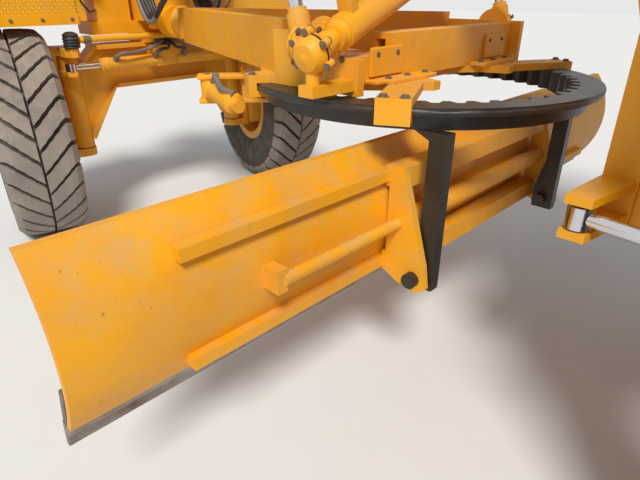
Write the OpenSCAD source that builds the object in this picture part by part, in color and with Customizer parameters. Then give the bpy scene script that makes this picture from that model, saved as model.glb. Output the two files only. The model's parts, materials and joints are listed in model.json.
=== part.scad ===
// Motor grader with an articulated frame, a raised drawbar and blade, and six wheels.
// Millimetres. +X forward, +Y to the left, +Z up, origin on the ground below the middle of the body.

/* [Machine] */
// Overall length, rear bumper to front plate
overall_l = 8800; // [8600:10:9400]
// Front axle to the middle of the tandem
wheelbase = 6050; // [5950:10:6200]
// Distance between the two wheels of a tandem
tandem_pitch = 1520; // [1500:10:1600]
// Front overhang, axle to the face of the front plate
front_overhang = 800; // [790:10:850]
// Middle of the machine to the middle of a tyre
half_track = 1010; // [1000:5:1060]

/* [Tyres] */
// Tyre diameter over the lugs
tyre_d = 1370; // [1340:5:1390]
// Tyre width
tyre_w = 440; // [420:5:450]
// Diameter of the rim's bead seat
rim_d = 635; // [610:5:650]
// Height of the lugs
lug_h = 28; // [22:1:32]
// Lugs around each shoulder
lug_count = 16; // [16:1:24]
// Radius of the wheel spindles
spindle_r = 60; // [50:1:70]
// Running clearance of a shaft in its bore, on the radius
running_gap = 0.08; // [0.05:0.01:0.1]

/* [Rear frame] */
// Height of the main rails above the ground, at their underside
rail_z = 780; // [760:5:800]
// Height of the main rails
rail_h = 260; // [240:5:270]
// Thickness of the main rails
rail_t = 60; // [50:1:70]
// Middle of the machine to the outside of a rail
rail_y = 380; // [360:5:400]
// Width of a tandem case
case_w = 170; // [150:5:180]
// Height of a tandem case
case_h = 440; // [400:5:460]
// Middle of the machine to the outside of a tandem case
case_y = 770; // [740:5:775]

/* [Engine] */
// Width of the engine hood
hood_w = 960; // [900:10:1000]
// Height of the hood's top above the ground
hood_z = 2050; // [1950:10:2120]
// Thickness of the hood's sheet and frame
hood_t = 40; // [30:1:50]
// Louvre slots in each side of the hood
louvres = 9; // [6:1:10]

/* [Cab] */
// Length of the cab at its floor
cab_l = 1420; // [1380:10:1460]
// Width of the cab outside
cab_w = 1440; // [1400:10:1500]
// Height of the cab floor above the ground
cab_z = 1390; // [1385:5:1420]
// Height of the roof above the ground
roof_z = 3240; // [3150:10:3300]
// Thickness of the cab's walls and posts
cab_t = 60; // [50:1:70]
// Thickness of the panes
glass_t = 8; // [6:1:10]
// Width of a cab door
door_w = 700; // [640:10:720]

/* [Front frame] */
// Width of the front frame's box beam
beam_w = 320; // [290:5:340]
// Height of the front frame's box beam
beam_h = 330; // [300:5:360]
// Height of the beam's underside behind the nose
beam_z = 1880; // [1860:5:1900]

/* [Front axle] */
// Height of the top of the front axle
axle_z = 1250; // [1235:5:1260]
// Middle of the machine to the kingpins
king_y = 670; // [660:2:674]
// Angle at which the front wheels stand, to the right
steer_rest = 13; // [0:1:15]
// Bore of the steering cylinders' barrels, outside
steer_barrel_d = 84; // [76:1:90]

/* [Drawbar] */
// Length from the drawbar's ball to the lift balls
drawbar_l = 2000; // [1980:5:2020]
// Height of the drawbar ball
draw_ball_z = 1390; // [1380:5:1400]
// Radius of the drawbar ball
draw_ball_r = 75; // [65:1:85]
// Height of the drawbar legs
leg_h = 212; // [205:1:218]
// Thickness of the drawbar legs
leg_t = 70; // [60:1:80]
// Underside of the drawbar's rear plate above the ground
plate_z = 1240; // [1234:2:1246]
// Thickness of the rear plate
plate_t = 32; // [28:1:40]
// Height of the cross wall above the rear plate
wall_h = 168; // [160:4:172]
// Middle of the machine to the lift balls
lift_y = 745; // [740:5:755]
// Height of the lift balls
lift_z = 1415; // [1410:5:1420]
// Radius of the lift balls' caps
cap_r = 54; // [50:1:56]
// Diameter of the lift cylinders' rods
lift_rod_d = 50; // [46:1:54]
// Outside diameter of the lift cylinders' barrels
lift_barrel_d = 112; // [106:1:118]
// Outside diameter of the centre shift cylinder's barrel
shift_barrel_d = 114; // [110:1:116]

/* [Circle and blade] */
// Outside diameter of the circle
circle_d = 1530; // [1500:10:1560]
// Width of the circle's ring
ring_w = 90; // [80:5:100]
// Height of the circle's ring
ring_h = 85; // [75:1:90]
// Teeth inside the circle
teeth = 48; // [40:1:60]
// Length of the blade
blade_l = 3660; // [3500:10:3700]
// Height of the blade with its cutting edge
blade_h = 610; // [580:5:630]
// Thickness of the blade
blade_t = 22; // [20:1:28]
// Height of the cutting edge's tip above the ground
blade_z = 470; // [460:5:480]

/* [Hidden] */
rear_x = -overall_l / 2;
front_x = overall_l / 2;
axle_x = front_x - front_overhang;
tandem_x = axle_x - wheelbase;
wheel_xs = [tandem_x + tandem_pitch / 2, tandem_x - tandem_pitch / 2];
tyre_r = tyre_d / 2;
seat_gap = 0.3;      // between pieces that rest on each other
clear = 8;           // between pieces that move past each other
yellow = [0.91, 0.63, 0.06];
dark = [0.13, 0.13, 0.14];
black = [0.05, 0.05, 0.05];
chrome = [0.8, 0.82, 0.84];
pane = [0.55, 0.7, 0.75, 0.4];
grey = [0.35, 0.35, 0.36];

// A bar with round ends in the XZ plane, of width d and thickness t along Y, from a to b
module round_bar(a, b, d, t) {
    rotate([90, 0, 0]) linear_extrude(t, center = true) {
        translate(a) circle(d = d, $fn = 48);
        translate(b) circle(d = d, $fn = 48);
        translate(a) rotate(atan2(b[1] - a[1], b[0] - a[0]))
            translate([0, -d / 2]) square([norm(b - a), d]);
    }
}
// A rod of radius r from point a to point b
module rod(a, b, r, fn = 48) {
    v = b - a;
    translate(a) rotate([0, acos(v[2] / norm(v)), atan2(v[1], v[0])])
        cylinder(h = norm(v), r = r, $fn = fn);
}
// Moves children so that +Z of theirs points from a to b, with a as their origin
module along(a, b) {
    v = b - a;
    translate(a) rotate([0, acos(v[2] / norm(v)), atan2(v[1], v[0])]) children();
}
// A plate in the XZ plane from y0 to y1 with the outline given as [x, z] points
module side_plate(y0, y1, outline) {
    translate([0, y1, 0]) rotate([90, 0, 0]) linear_extrude(y1 - y0) polygon(outline);
}
// A plate in the YZ plane from x0 to x1 with the outline given as [y, z] points
module cross_plate(x0, x1, outline) {
    translate([x0, 0, 0]) rotate([90, 0, 90]) linear_extrude(x1 - x0) polygon(outline);
}
// A box given by its low and high corners
module block(a, b) {
    translate(a) cube(b - a);
}
module mirror_y(side) {
    if (side > 0) children();
    else mirror([0, 1, 0]) children();
}
module both_sides() {
    children();
    mirror([0, 1, 0]) children();
}

// Wheels, drawn round the Y axis with the outer side at +Y, middle of the tyre at the origin
carcass_r = tyre_r - lug_h;
bead_r = rim_d / 2;
bead_y = tyre_w * 0.39;   // half the width between the rim's flanges
flange_h = 22;            // height of the rim's flanges
flange_t = 12;
module tyre_shape() {
    w = tyre_w / 2;
    rotate([90, 0, 0]) rotate_extrude($fn = 72)
        polygon([
            [bead_r, -bead_y], [bead_r + flange_h + 2, -bead_y], [bead_r + 150, -w],
            [carcass_r - 60, -w], [carcass_r, -w * 0.75], [carcass_r, w * 0.75],
            [carcass_r - 60, w], [bead_r + 150, w], [bead_r + flange_h + 2, bead_y], [bead_r, bead_y]
        ]);
    for (i = [0 : lug_count - 1], s = [0, 1])
        rotate([0, (i + s / 2) * 360 / lug_count, 0]) mirror([0, s, 0]) lug();
}
// One lug: a slanted bar from the shoulder to the middle of the tread
lug_w = 95;
lug_root = 50;
module lug() {
    w = tyre_w / 2;
    translate([0, 0, carcass_r - lug_root])
        linear_extrude(sqrt(tyre_r * tyre_r - lug_w * lug_w) - carcass_r + lug_root)
        polygon([[-lug_w * 0.9, w * 0.92], [lug_w * 0.15, w * 0.92], [lug_w, 12], [lug_w * 0.1, 12]]);
}
dish_t = 24;      // thickness of the wheel disc
dish_y = 40;      // offset of the disc from the middle of the tyre
hub_r = 190;
hub_cap_y = 150;  // outer end of the hub, from the middle of the tyre
module rim_shape(hub_in) {
    flange_in = bead_y + seat_gap;
    flange_out = bead_y + flange_t;
    bed_r = bead_r - seat_gap;
    rotate([-90, 0, 0]) rotate_extrude($fn = 72)
        polygon([
            [spindle_r + running_gap, -hub_in], [hub_r, -hub_in], [hub_r, dish_y - dish_t],
            [bead_r - 40, dish_y], [bead_r - 40, -flange_out], [bead_r + flange_h, -flange_out],
            [bead_r + flange_h, -flange_in], [bed_r, -flange_in],
            [bed_r, flange_in], [bead_r + flange_h, flange_in], [bead_r + flange_h, flange_out],
            [bead_r - 40, flange_out], [bead_r - 40, dish_y + dish_t], [hub_r, dish_y],
            [hub_r - 30, hub_cap_y - 30], [110, hub_cap_y], [0, hub_cap_y + 10],
            [0, hub_cap_y - 20], [spindle_r + running_gap, hub_cap_y - 20]
        ]);
}
module place_wheel(x, side) {
    translate([x, side * half_track, tyre_r]) mirror_y(side) children();
}
module tyre_at(x, side) {
    color(black) place_wheel(x, side) tyre_shape();
}
module rim_at(x, side, hub_in) {
    color(yellow) place_wheel(x, side) rim_shape(hub_in);
}

// Rear frame
pivot_x = 40;                       // articulation pin
pin_r = 55;
hitch_r = 115;
lug_low = [760, 815];               // heights of the lower hitch plate
lug_high = [1235, 1290];            // heights of the upper hitch plate
deck_t = 20;
deck_z = rail_z + rail_h;           // underside of the deck
deck_top = deck_z + deck_t;
deck_y = hood_w / 2 + 60;
rear_rail_x = rear_x + 150;
cab_x1 = pivot_x - 210;             // front of the cab
cab_x0 = cab_x1 - cab_l;            // back of the cab
engine_x = [-3900, -2520];
engine_y = 300;
engine_z = [900, 1850];
cross_xs = [rear_rail_x + 60, -3740, -2840, -1500, -620];
cross_t = 120;
axle_tube_r = 90;
hitch_half = 130;
barrel_pin_x = pivot_x - 650;       // articulation barrels' pins
barrel_pin_y = 540;
module rear_frame() {
    color(yellow) {
        difference() {
            union() {
                both_sides() side_plate(rail_y - rail_t, rail_y, [
                    [rear_rail_x, rail_z + 60], [rear_rail_x + 200, rail_z], [pivot_x - 250, rail_z],
                    [pivot_x - 250, deck_z], [rear_rail_x, deck_z]
                ]);
                for (x = cross_xs)
                    block([x, -rail_y + 1, rail_z + 1], [x + cross_t, rail_y - 1, rail_z + cross_t]);
                // deck on the rails, open over the engine
                difference() {
                    block([rear_rail_x, -deck_y, deck_z], [cab_x0 + 40, deck_y, deck_top]);
                    block([engine_x[0] - 60, -engine_y - 12, deck_z - 1], [engine_x[1] + 60, engine_y + 12, deck_top + 1]);
                }
                // hitch box and its two plates
                block([pivot_x - 310, -rail_y + 20, rail_z - 20], [pivot_x - 190, rail_y - 20, 1300]);
                for (z = [lug_low, lug_high])
                    translate([0, 0, z[0]]) linear_extrude(z[1] - z[0]) {
                        translate([pivot_x - 191, -hitch_half - 60]) square([62, 2 * hitch_half + 120]);
                        polygon([
                            [pivot_x - 130, -hitch_half - 60], [pivot_x - 130, hitch_half + 60],
                            [pivot_x, hitch_r], [pivot_x, -hitch_r]
                        ]);
                        translate([pivot_x, 0]) circle(r = hitch_r, $fn = 64);
                    }
                // brackets of the articulation cylinders
                both_sides() for (z = [artic_z - 75, artic_z + 45])
                    block([barrel_pin_x - 60, rail_y - 1, z], [barrel_pin_x + 50, barrel_pin_y + 40, z + 30]);
            }
            translate([pivot_x, 0, 700]) cylinder(h = 700, r = pin_r, $fn = 64);
        }
        // pin of the hitch, held in the plates
        translate([pivot_x, 0, lug_low[0] - 15]) cylinder(h = lug_high[1] - lug_low[0] + 30, r = pin_r, $fn = 64);
        both_sides() translate([barrel_pin_x, barrel_pin_y, artic_z - 60])
            cylinder(h = 120, r = 22, $fn = 32);
    }
}
artic_z = 930;
module rear_bumper() {
    color(yellow) difference() {
        union() {
            side_plate(-rail_y - 160, rail_y + 160, [
                [rear_x, 800], [rear_x + 60, 720], [rear_rail_x - seat_gap, 720],
                [rear_rail_x - seat_gap, deck_top], [rear_x + 50, deck_top], [rear_x, 1000]
            ]);
        }
        // tow pin pocket
        block([rear_x - 1, -60, 850], [rear_x + 120, 60, 950]);
        translate([rear_x + 80, 0, 700]) cylinder(h = 400, r = tow_r, $fn = 48);
    }
}
tow_r = 20;
module engine_block() {
    color(grey) block([engine_x[0], -engine_y, engine_z[0] + seat_gap], [engine_x[1], engine_y, engine_z[1]]);
}
hood_x0 = rear_rail_x;
hood_x1 = cab_x0 - 12;
hood_z0 = deck_top + seat_gap;
louvre_w = 60;
louvre_pitch = 110;
module engine_hood() {
    w = hood_w / 2;
    color(yellow) difference() {
        cross_plate(hood_x0, hood_x1, [
            [-w, hood_z0], [-w, hood_z - 110], [-w + 90, hood_z], [w - 90, hood_z], [w, hood_z - 110], [w, hood_z0]
        ]);
        cross_plate(hood_x0 - 1, hood_x1 - hood_t, [
            [-w + hood_t, hood_z0 - 1], [-w + hood_t, hood_z - 110 - hood_t * 0.4], [-w + 90 + hood_t * 0.4, hood_z - hood_t],
            [w - 90 - hood_t * 0.4, hood_z - hood_t], [w - hood_t, hood_z - 110 - hood_t * 0.4], [w - hood_t, hood_z0 - 1]
        ]);
        // louvres over the radiator
        for (i = [0 : louvres - 1])
            block([hood_x0 + 150 + i * louvre_pitch, -w - 1, 1350], [hood_x0 + 150 + i * louvre_pitch + louvre_w, w + 1, 1800]);
    }
}
grille_bar = 18;
grille_pitch = 60;
module rear_grille() {
    w = hood_w / 2 - hood_t - seat_gap;
    z0 = hood_z0;
    z1 = hood_z - 110 - hood_t * 0.4 - seat_gap;
    color(dark) {
        difference() {
            block([hood_x0, -w, z0], [hood_x0 + 40, w, z1]);
            block([hood_x0 - 1, -w + 60, z0 + 60], [hood_x0 + 41, w - 60, z1 - 60]);
        }
        for (z = [z0 + 60 + grille_pitch / 2 : grille_pitch : z1 - 70])
            block([hood_x0 + 8, -w + 59, z], [hood_x0 + 30, w - 59, z + grille_bar]);
        for (y = [-150, 150 - 20])
            block([hood_x0 + 20, y, z0 + 59], [hood_x0 + 38, y + 20, z1 - 59]);
    }
}
stack_x = -2750;
stack_y = 180;
module exhaust_stack() {
    color(dark) {
        // exhaust pipe with a bent end, and the round air intake beside it
        translate([stack_x, -stack_y, hood_z + seat_gap]) {
            cylinder(h = 420, r = 90, $fn = 48);
            cylinder(h = 900, r = 48, $fn = 48);
            translate([0, 0, 870]) rotate([0, -35, 0]) cylinder(h = 200, r = 46, $fn = 48);
        }
        translate([stack_x, stack_y, hood_z + seat_gap]) {
            cylinder(h = 330, r = 55, $fn = 48);
            translate([0, 0, 330]) cylinder(h = 40, r = 130, $fn = 48);
            translate([0, 0, 369]) cylinder(h = 130, r = 110, $fn = 48);
            translate([0, 0, 498]) cylinder(h = 30, r = 80, $fn = 48);
        }
    }
}
tank_x = [-900, -330];
tank_z = [470, 840];
tank_w = 320;
module fuel_tank() {
    y0 = -rail_y - seat_gap;
    color(yellow) cross_plate(tank_x[0], tank_x[1], [
        [y0, tank_z[1]], [y0, tank_z[0] + 50], [y0 - 50, tank_z[0]], [y0 - tank_w + 50, tank_z[0]],
        [y0 - tank_w, tank_z[0] + 50], [y0 - tank_w, tank_z[1] - 30], [y0 - tank_w + 30, tank_z[1]]
    ]);
}
module tandem_axle() {
    color(yellow) {
        both_sides() tandem_case();
        translate([tandem_x, 0, tyre_r]) rotate([90, 0, 0])
            cylinder(h = 2 * (case_y - case_w + 5), r = axle_tube_r, center = true, $fn = 64);
        translate([tandem_x, 0, tyre_r]) sphere(r = 200, $fn = 64);
        both_sides() block([tandem_x - 140, rail_y - rail_t - 20, tyre_r - 10], [tandem_x + 140, rail_y + 20, rail_z - seat_gap]);
    }
}
module tandem_case() {
    translate([0, case_y - case_w / 2, 0])
        round_bar([wheel_xs[1], tyre_r], [wheel_xs[0], tyre_r], case_h, case_w);
    // round cover at the middle, over the axle
    translate([tandem_x, case_y + 14, tyre_r]) rotate([90, 0, 0]) cylinder(h = 20, r = 190, $fn = 64);
    for (x = wheel_xs)
        translate([x, case_y - 5, tyre_r]) rotate([-90, 0, 0])
            cylinder(h = half_track + hub_cap_y - 22 - case_y + 5, r = spindle_r, $fn = 64);
}

// Cab
half_cab = cab_w / 2;
floor_t = 60;
floor_z = cab_z - floor_t;
wall_z0 = cab_z + seat_gap;
wall_z1 = roof_z - 80 - seat_gap;
post_w = 70;
door_gap = 9;
door_x0 = cab_x1 - post_w - door_w;     // hinge side of the door opening
door_z0 = cab_z + 40;
door_z1 = wall_z1 - 90;
mount_xs = [cab_x0 + 90, cab_x1 - 320];
module cab_floor() {
    color(dark) {
        block([cab_x0, -half_cab, floor_z], [cab_x1, half_cab, cab_z]);
        both_sides() for (x = mount_xs)
            block([x, rail_y - rail_t + 5, deck_z + seat_gap], [x + 160, rail_y + 60, floor_z + 1]);
    }
}
win_z0 = cab_z + 560;                   // lower edge of the rear side windows
front_win_z0 = cab_z + 110;
rear_win_z0 = hood_z + 70;
win_z1 = wall_z1 - 110;
side_win_x = [cab_x0 + 80, door_x0 - 70];
module cab_openings() {
    // front, rear and side windows, in that order
    block([cab_x1 - cab_t - 1, -half_cab + 110, front_win_z0], [cab_x1 + 1, half_cab - 110, win_z1]);
    block([cab_x0 - 1, -half_cab + 150, rear_win_z0], [cab_x0 + cab_t + 1, half_cab - 150, win_z1]);
    both_sides() block([side_win_x[0], half_cab - cab_t - 1, win_z0], [side_win_x[1], half_cab + 1, win_z1]);
}
hinge_out = 16;                         // hinge axis outside the cab's wall
hinge_pin_r = 8;
hinge_barrel_r = 15;
hinge_zs = [cab_z + 320, wall_z1 - 420];
module cab_shell() {
    color(yellow) {
        difference() {
            block([cab_x0, -half_cab, wall_z0], [cab_x1, half_cab, wall_z1]);
            block([cab_x0 + cab_t, -half_cab + cab_t, wall_z0 - 1], [cab_x1 - cab_t, half_cab - cab_t, wall_z1 + 1]);
            cab_openings();
            both_sides() block([door_x0, half_cab - cab_t - 1, door_z0], [door_x0 + door_w, half_cab + 1, door_z1]);
        }
        // hinge lugs and pins
        both_sides() for (z = hinge_zs) {
            for (dz = [-75, 55])
                block([door_x0 - 45, half_cab - 10, z + dz], [door_x0 + 3, half_cab + hinge_out + 12, z + dz + 20]);
            translate([door_x0, half_cab + hinge_out, z - 75]) cylinder(h = 150, r = hinge_pin_r, $fn = 32);
        }
    }
}
module cab_roof() {
    color(yellow) difference() {
        cross_plate(cab_x0 - 40, cab_x1 + 90, [
            [-half_cab - 20, roof_z - 80], [-half_cab - 20, roof_z - 40], [-half_cab + 60, roof_z],
            [half_cab - 60, roof_z], [half_cab + 20, roof_z - 40], [half_cab + 20, roof_z - 80]
        ]);
        block([cab_x0 + cab_t + 80, -half_cab + 160, roof_z - 81], [cab_x1 - cab_t - 80, half_cab - 160, roof_z - 50]);
    }
}
module cab_glass() {
    g = seat_gap;
    color(pane) {
        block([cab_x1 - cab_t / 2 - glass_t / 2, -half_cab + 110 + g, front_win_z0 + g],
              [cab_x1 - cab_t / 2 + glass_t / 2, half_cab - 110 - g, win_z1 - g]);
        block([cab_x0 + cab_t / 2 - glass_t / 2, -half_cab + 150 + g, rear_win_z0 + g],
              [cab_x0 + cab_t / 2 + glass_t / 2, half_cab - 150 - g, win_z1 - g]);
        both_sides() block([side_win_x[0] + g, half_cab - cab_t / 2 - glass_t / 2, win_z0 + g],
              [side_win_x[1] - g, half_cab - cab_t / 2 + glass_t / 2, win_z1 - g]);
    }
}
frame_w = 75;
pane_x = [door_x0 + door_gap + frame_w, door_x0 + door_w - door_gap - frame_w];
pane_z = [door_z0 + door_gap + 130, door_z1 - door_gap - frame_w];
module door(side) {
    color(yellow) mirror_y(side) difference() {
        union() {
            difference() {
                block([door_x0 + door_gap, half_cab - cab_t, door_z0 + door_gap],
                      [door_x0 + door_w - door_gap, half_cab, door_z1 - door_gap]);
                block([pane_x[0], half_cab - cab_t - 1, pane_z[0]], [pane_x[1], half_cab + 1, pane_z[1]]);
            }
            for (z = hinge_zs) {
                translate([door_x0, half_cab + hinge_out, z - 50]) cylinder(h = 100, r = hinge_barrel_r, $fn = 32);
                block([door_x0 + hinge_pin_r + 2, half_cab + 2, z - 50], [door_x0 + 60, half_cab + hinge_out + 4, z + 50]);
                block([door_x0 + 24, half_cab - 4, z - 50], [door_x0 + 60, half_cab + 6, z + 50]);
            }
            // pull handle
            translate([door_x0 + door_w - 60, half_cab + 30, cab_z + 800]) cylinder(h = 260, r = 10, $fn = 24);
            for (dz = [10, 235])
                block([door_x0 + door_w - 68, half_cab - 1, cab_z + 800 + dz], [door_x0 + door_w - 52, half_cab + 30, cab_z + 815 + dz]);
        }
        for (z = hinge_zs)
            translate([door_x0, half_cab + hinge_out, z - 51])
                cylinder(h = 102, r = hinge_pin_r + running_gap, $fn = 32);
    }
}
module door_glass(side) {
    g = seat_gap;
    color(pane) mirror_y(side) block([pane_x[0] + g, half_cab - cab_t / 2 - glass_t / 2, pane_z[0] + g],
        [pane_x[1] - g, half_cab - cab_t / 2 + glass_t / 2, pane_z[1] - g]);
}
seat_x = cab_x0 + 180;
module seat() {
    color(black) translate([seat_x, 0, cab_z + seat_gap]) {
        block([120, -150, 0], [450, 150, 361]);
        side_plate(-250, 250, [[60, 360], [40, 400], [60, 480], [560, 500], [600, 460], [590, 400], [560, 360]]);
        side_plate(-230, 230, [[60, 400], [-60, 1080], [-20, 1120], [40, 1100], [160, 470], [150, 400]]);
        both_sides() side_plate(255, 320, [[100, 640], [90, 690], [420, 720], [440, 660]]);
        both_sides() block([100, 225, 600], [170, 300, 690]);
    }
}
console_x = cab_x1 - 400;
wheel_r = 190;
module steering_console() {
    color(dark) translate([console_x, 0, cab_z + seat_gap]) {
        block([0, -130, 0], [130, 130, 40]);
        side_plate(-70, 70, [[20, 39], [110, 39], [60, 640], [-20, 640]]);
        side_plate(-150, 150, [[-50, 600], [90, 600], [110, 690], [-10, 720]]);
        translate([20, 0, 690]) rotate([0, -20, 0]) {
            cylinder(h = 90, r = 22, $fn = 32);
            translate([0, 0, 90]) rotate_extrude($fn = 48) translate([wheel_r, 0]) circle(r = 15, $fn = 16);
            for (a = [0, 120, 240]) rotate(a) block([0, -12, 82], [wheel_r, 12, 96]);
        }
    }
}
step_y = [half_cab + seat_gap, half_cab + 290];
step_x = [door_x0 - 60, cab_x1 - 60];
ladder_x = [door_x0 + 110, door_x0 + 520];
step_zs = [430, 720, 1010];
module steps() {
    color(dark) both_sides() {
        block([step_x[0], step_y[0], floor_z], [step_x[1], step_y[1], floor_z + 30]);
        for (x = [ladder_x[0], ladder_x[1] - 14])
            side_ladder(x);
        for (z = step_zs)
            block([ladder_x[0] + 1, step_y[0] + 60, z], [ladder_x[1] - 1, step_y[1], z + 25]);
    }
}
module side_ladder(x) {
    cross_plate(x, x + 14, [
        [step_y[0] + 60, floor_z + 1], [step_y[0] + 60, step_zs[0] - 30],
        [step_y[1], step_zs[0] - 30], [step_y[1], floor_z + 1]
    ]);
}

// Front frame
post_x = [pivot_x + hitch_r + 15, pivot_x + hitch_r + 130];
half_beam = beam_w / 2;
beam_top = beam_z + beam_h;
nose_x = [axle_x - 260, axle_x + 260];
nose_y = 170;
bolster_x = [axle_x - 110, axle_x + 110];
bolster_y = 508;
bolster_t = 82;
bolster_z = axle_z + 66;
column_y = [212, 456];
draw_ball_x = axle_x - 420;
cup_r = draw_ball_r + 38;
eye_pin_r = 20;
artic_eye = [pivot_x + 220, 400, artic_z];
artic_tail = [barrel_pin_x, barrel_pin_y, artic_z];
module front_frame() {
    color(yellow) {
        difference() {
            union() {
                // hitch block round the pin
                translate([pivot_x, 0, lug_low[1] + clear])
                    cylinder(h = lug_high[0] - lug_low[1] - 2 * clear, r = hitch_r - 5, $fn = 64);
                block([pivot_x, -half_beam + 40, lug_low[1] + clear],
                      [post_x[0] + 1, half_beam - 40, lug_high[0] - clear]);
                // post, gooseneck and beam
                side_plate(-half_beam, half_beam, [
                    [post_x[0], lug_low[1] + clear], [post_x[1], lug_low[1] + clear], [post_x[1], 1480],
                    [post_x[1] + 120, beam_z - 60], [post_x[1] + 260, beam_z], [nose_x[0] - 260, beam_z],
                    [nose_x[0] + 1, beam_z - 300], [nose_x[0] + 1, beam_top], [post_x[0] + 160, beam_top],
                    [post_x[0], beam_top - 170]
                ]);
                // nose over the axle
                block([nose_x[0], -nose_y, bolster_z + bolster_t - 1], [nose_x[1], nose_y, beam_top]);
                // bolster with a column on each side
                block([bolster_x[0], -bolster_y, bolster_z], [bolster_x[1], bolster_y, bolster_z + bolster_t]);
                both_sides() block([bolster_x[0] + 10, column_y[0], bolster_z + bolster_t - 1],
                                   [bolster_x[1] - 20, column_y[1], 1840]);
                both_sides() block([axle_x - 60, nose_y - 1, 1700], [axle_x + 60, column_y[0] + 1, 1830]);
                // front plate
                block([nose_x[1] - 1, -300, 1290], [nose_x[1] + 40, 300, beam_top]);
                side_plate(-80, 80, [
                    [nose_x[1] + 39, 1350], [front_x - 60, 1350], [front_x, 1400], [front_x, 1560],
                    [front_x - 130, 1560], [nose_x[1] + 39, 1700]
                ]);
                // ears of the articulation cylinders
                both_sides() for (z = [artic_z - 75, artic_z + 45])
                    translate([0, 0, z]) linear_extrude(30)
                        polygon([
                            [post_x[0], half_beam - 20], [post_x[1], half_beam - 20], [artic_eye[0] + 45, artic_eye[1] - 20],
                            [artic_eye[0] + 45, artic_eye[1] + 40], [artic_eye[0] - 40, artic_eye[1] + 40]
                        ]);
                // bracket that holds the drawbar ball
                translate([draw_ball_x + 38, 0, draw_ball_z]) rotate([0, 90, 0])
                    cylinder(h = nose_x[0] - 10 - draw_ball_x - 38, r = cup_r - 5, $fn = 64);
                block([nose_x[0] - 50, -nose_y + 20, draw_ball_z - 42], [nose_x[0] + 30, nose_y - 20, draw_ball_z + 170]);
            }
            translate([pivot_x, 0, 700]) cylinder(h = 700, r = pin_r + running_gap, $fn = 64);
            translate([draw_ball_x, 0, draw_ball_z]) sphere(r = draw_ball_r + seat_gap, $fn = 64);
            translate([front_x - 85, 0, 1300]) cylinder(h = 400, r = tow_r, $fn = 48);
            // bolt holes of the front plate
            for (y = [-1, 1], z = [1400, 2000])
                translate([nose_x[1] - 20, y * 265, z]) rotate([0, 90, 0]) cylinder(h = 80, r = 11, $fn = 32);
        }
    }
}
// Articulation cylinders, drawn on the left
artic_bore_r = 20;
artic_r = 48;
artic_rod_r = 25;
artic_len = norm(artic_eye - artic_tail);
artic_end = artic_len - 260;
eye_h = 76;
module tube_barrel(len0, len1, r_out, r_bore, r_rod) {
    // closed at the low end, with a gland at the high end
    difference() {
        translate([0, 0, len0]) cylinder(h = len1 - len0, r = r_out, $fn = 48);
        translate([0, 0, len0 + 30]) cylinder(h = len1 - len0 - 70, r = r_bore, $fn = 48);
        translate([0, 0, len1 - 41]) cylinder(h = 42, r = r_rod + running_gap, $fn = 48);
    }
}
module piston_rod(start, end, r_rod, r_bore) {
    translate([0, 0, start]) cylinder(h = 40, r = r_bore - 0.3, $fn = 48);
    translate([0, 0, start + 39]) cylinder(h = end - start - 39, r = r_rod, $fn = 48);
}
module articulation_barrel(side) {
    color(yellow) mirror_y(side) difference() {
        union() {
            along(artic_tail, artic_eye) {
                tube_barrel(62, artic_end, artic_r, artic_r - 10, artic_rod_r);
                cylinder(h = 70, r = 34, $fn = 48);
            }
            translate(artic_tail - [0, 0, eye_h / 2]) cylinder(h = eye_h, r = 46, $fn = 48);
        }
        translate(artic_tail - [0, 0, eye_h]) cylinder(h = 2 * eye_h, r = 22 + running_gap, $fn = 48);
    }
}
module articulation_rod(side) {
    color(chrome) mirror_y(side) {
        along(artic_tail, artic_eye) piston_rod(artic_end - 330, artic_len - 30, artic_rod_r, artic_r - 10);
        translate(artic_eye - [0, 0, eye_h / 2]) cylinder(h = eye_h, r = 42, $fn = 48);
    }
}
// Saddle clamped on the beam, with an arm and a fork to each lift cylinder
ball_x = draw_ball_x - drawbar_l;
saddle_x = ball_x + 150;
saddle_z = 1990;
trunnion_r = 22;
yoke_x = 118;
yoke_y = 112;
yoke_z = 30;
yoke_hole_r = lift_barrel_d / 2 + 20;
lean_room = 23;                // the hole is that much wider at its ends
yoke_skew = 20.4;              // turns the barrel's trunnions towards the drawbar's ball
yoke_shaft_r = 32;
arm_x = 78;
arm_y = lift_y - yoke_y - 6;
shift_top = [ball_x + 50, -350, 1785];
shift_plate_x = [shift_top[0] + cap_r + 24, shift_top[0] + cap_r + 50];
module lift_saddle() {
    color(yellow) translate([saddle_x, 0, 0]) difference() {
        union() {
            difference() {
                block([-80, -half_beam - 45, beam_z - 40], [150, half_beam + 45, beam_top + 50]);
                block([-81, -half_beam - seat_gap, beam_z - seat_gap], [151, half_beam + seat_gap, beam_top + seat_gap]);
            }
            both_sides() {
                block([-arm_x, half_beam + 44, saddle_z - 50], [arm_x, arm_y - 20, saddle_z + 50]);
                translate([0, arm_y, saddle_z]) rotate([90, 0, 0]) cylinder(h = 120, r = 62, $fn = 64);
            }
            // plate down to the centre shift cylinder's cap, on the right
            translate([-saddle_x, 0, 0])
                cross_plate(shift_plate_x[0], shift_plate_x[1], [
                    [shift_top[1] - 45, shift_top[2] - 45], [shift_top[1] + 45, shift_top[2] - 45],
                    [shift_top[1] + 75, saddle_z - 40], [shift_top[1] - 75, saddle_z - 40]
                ]);
        }
        both_sides() translate([0, arm_y + 1, saddle_z]) rotate([90, 0, 0])
            cylinder(h = 150, r = yoke_shaft_r + running_gap, $fn = 48);
    }
}
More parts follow.
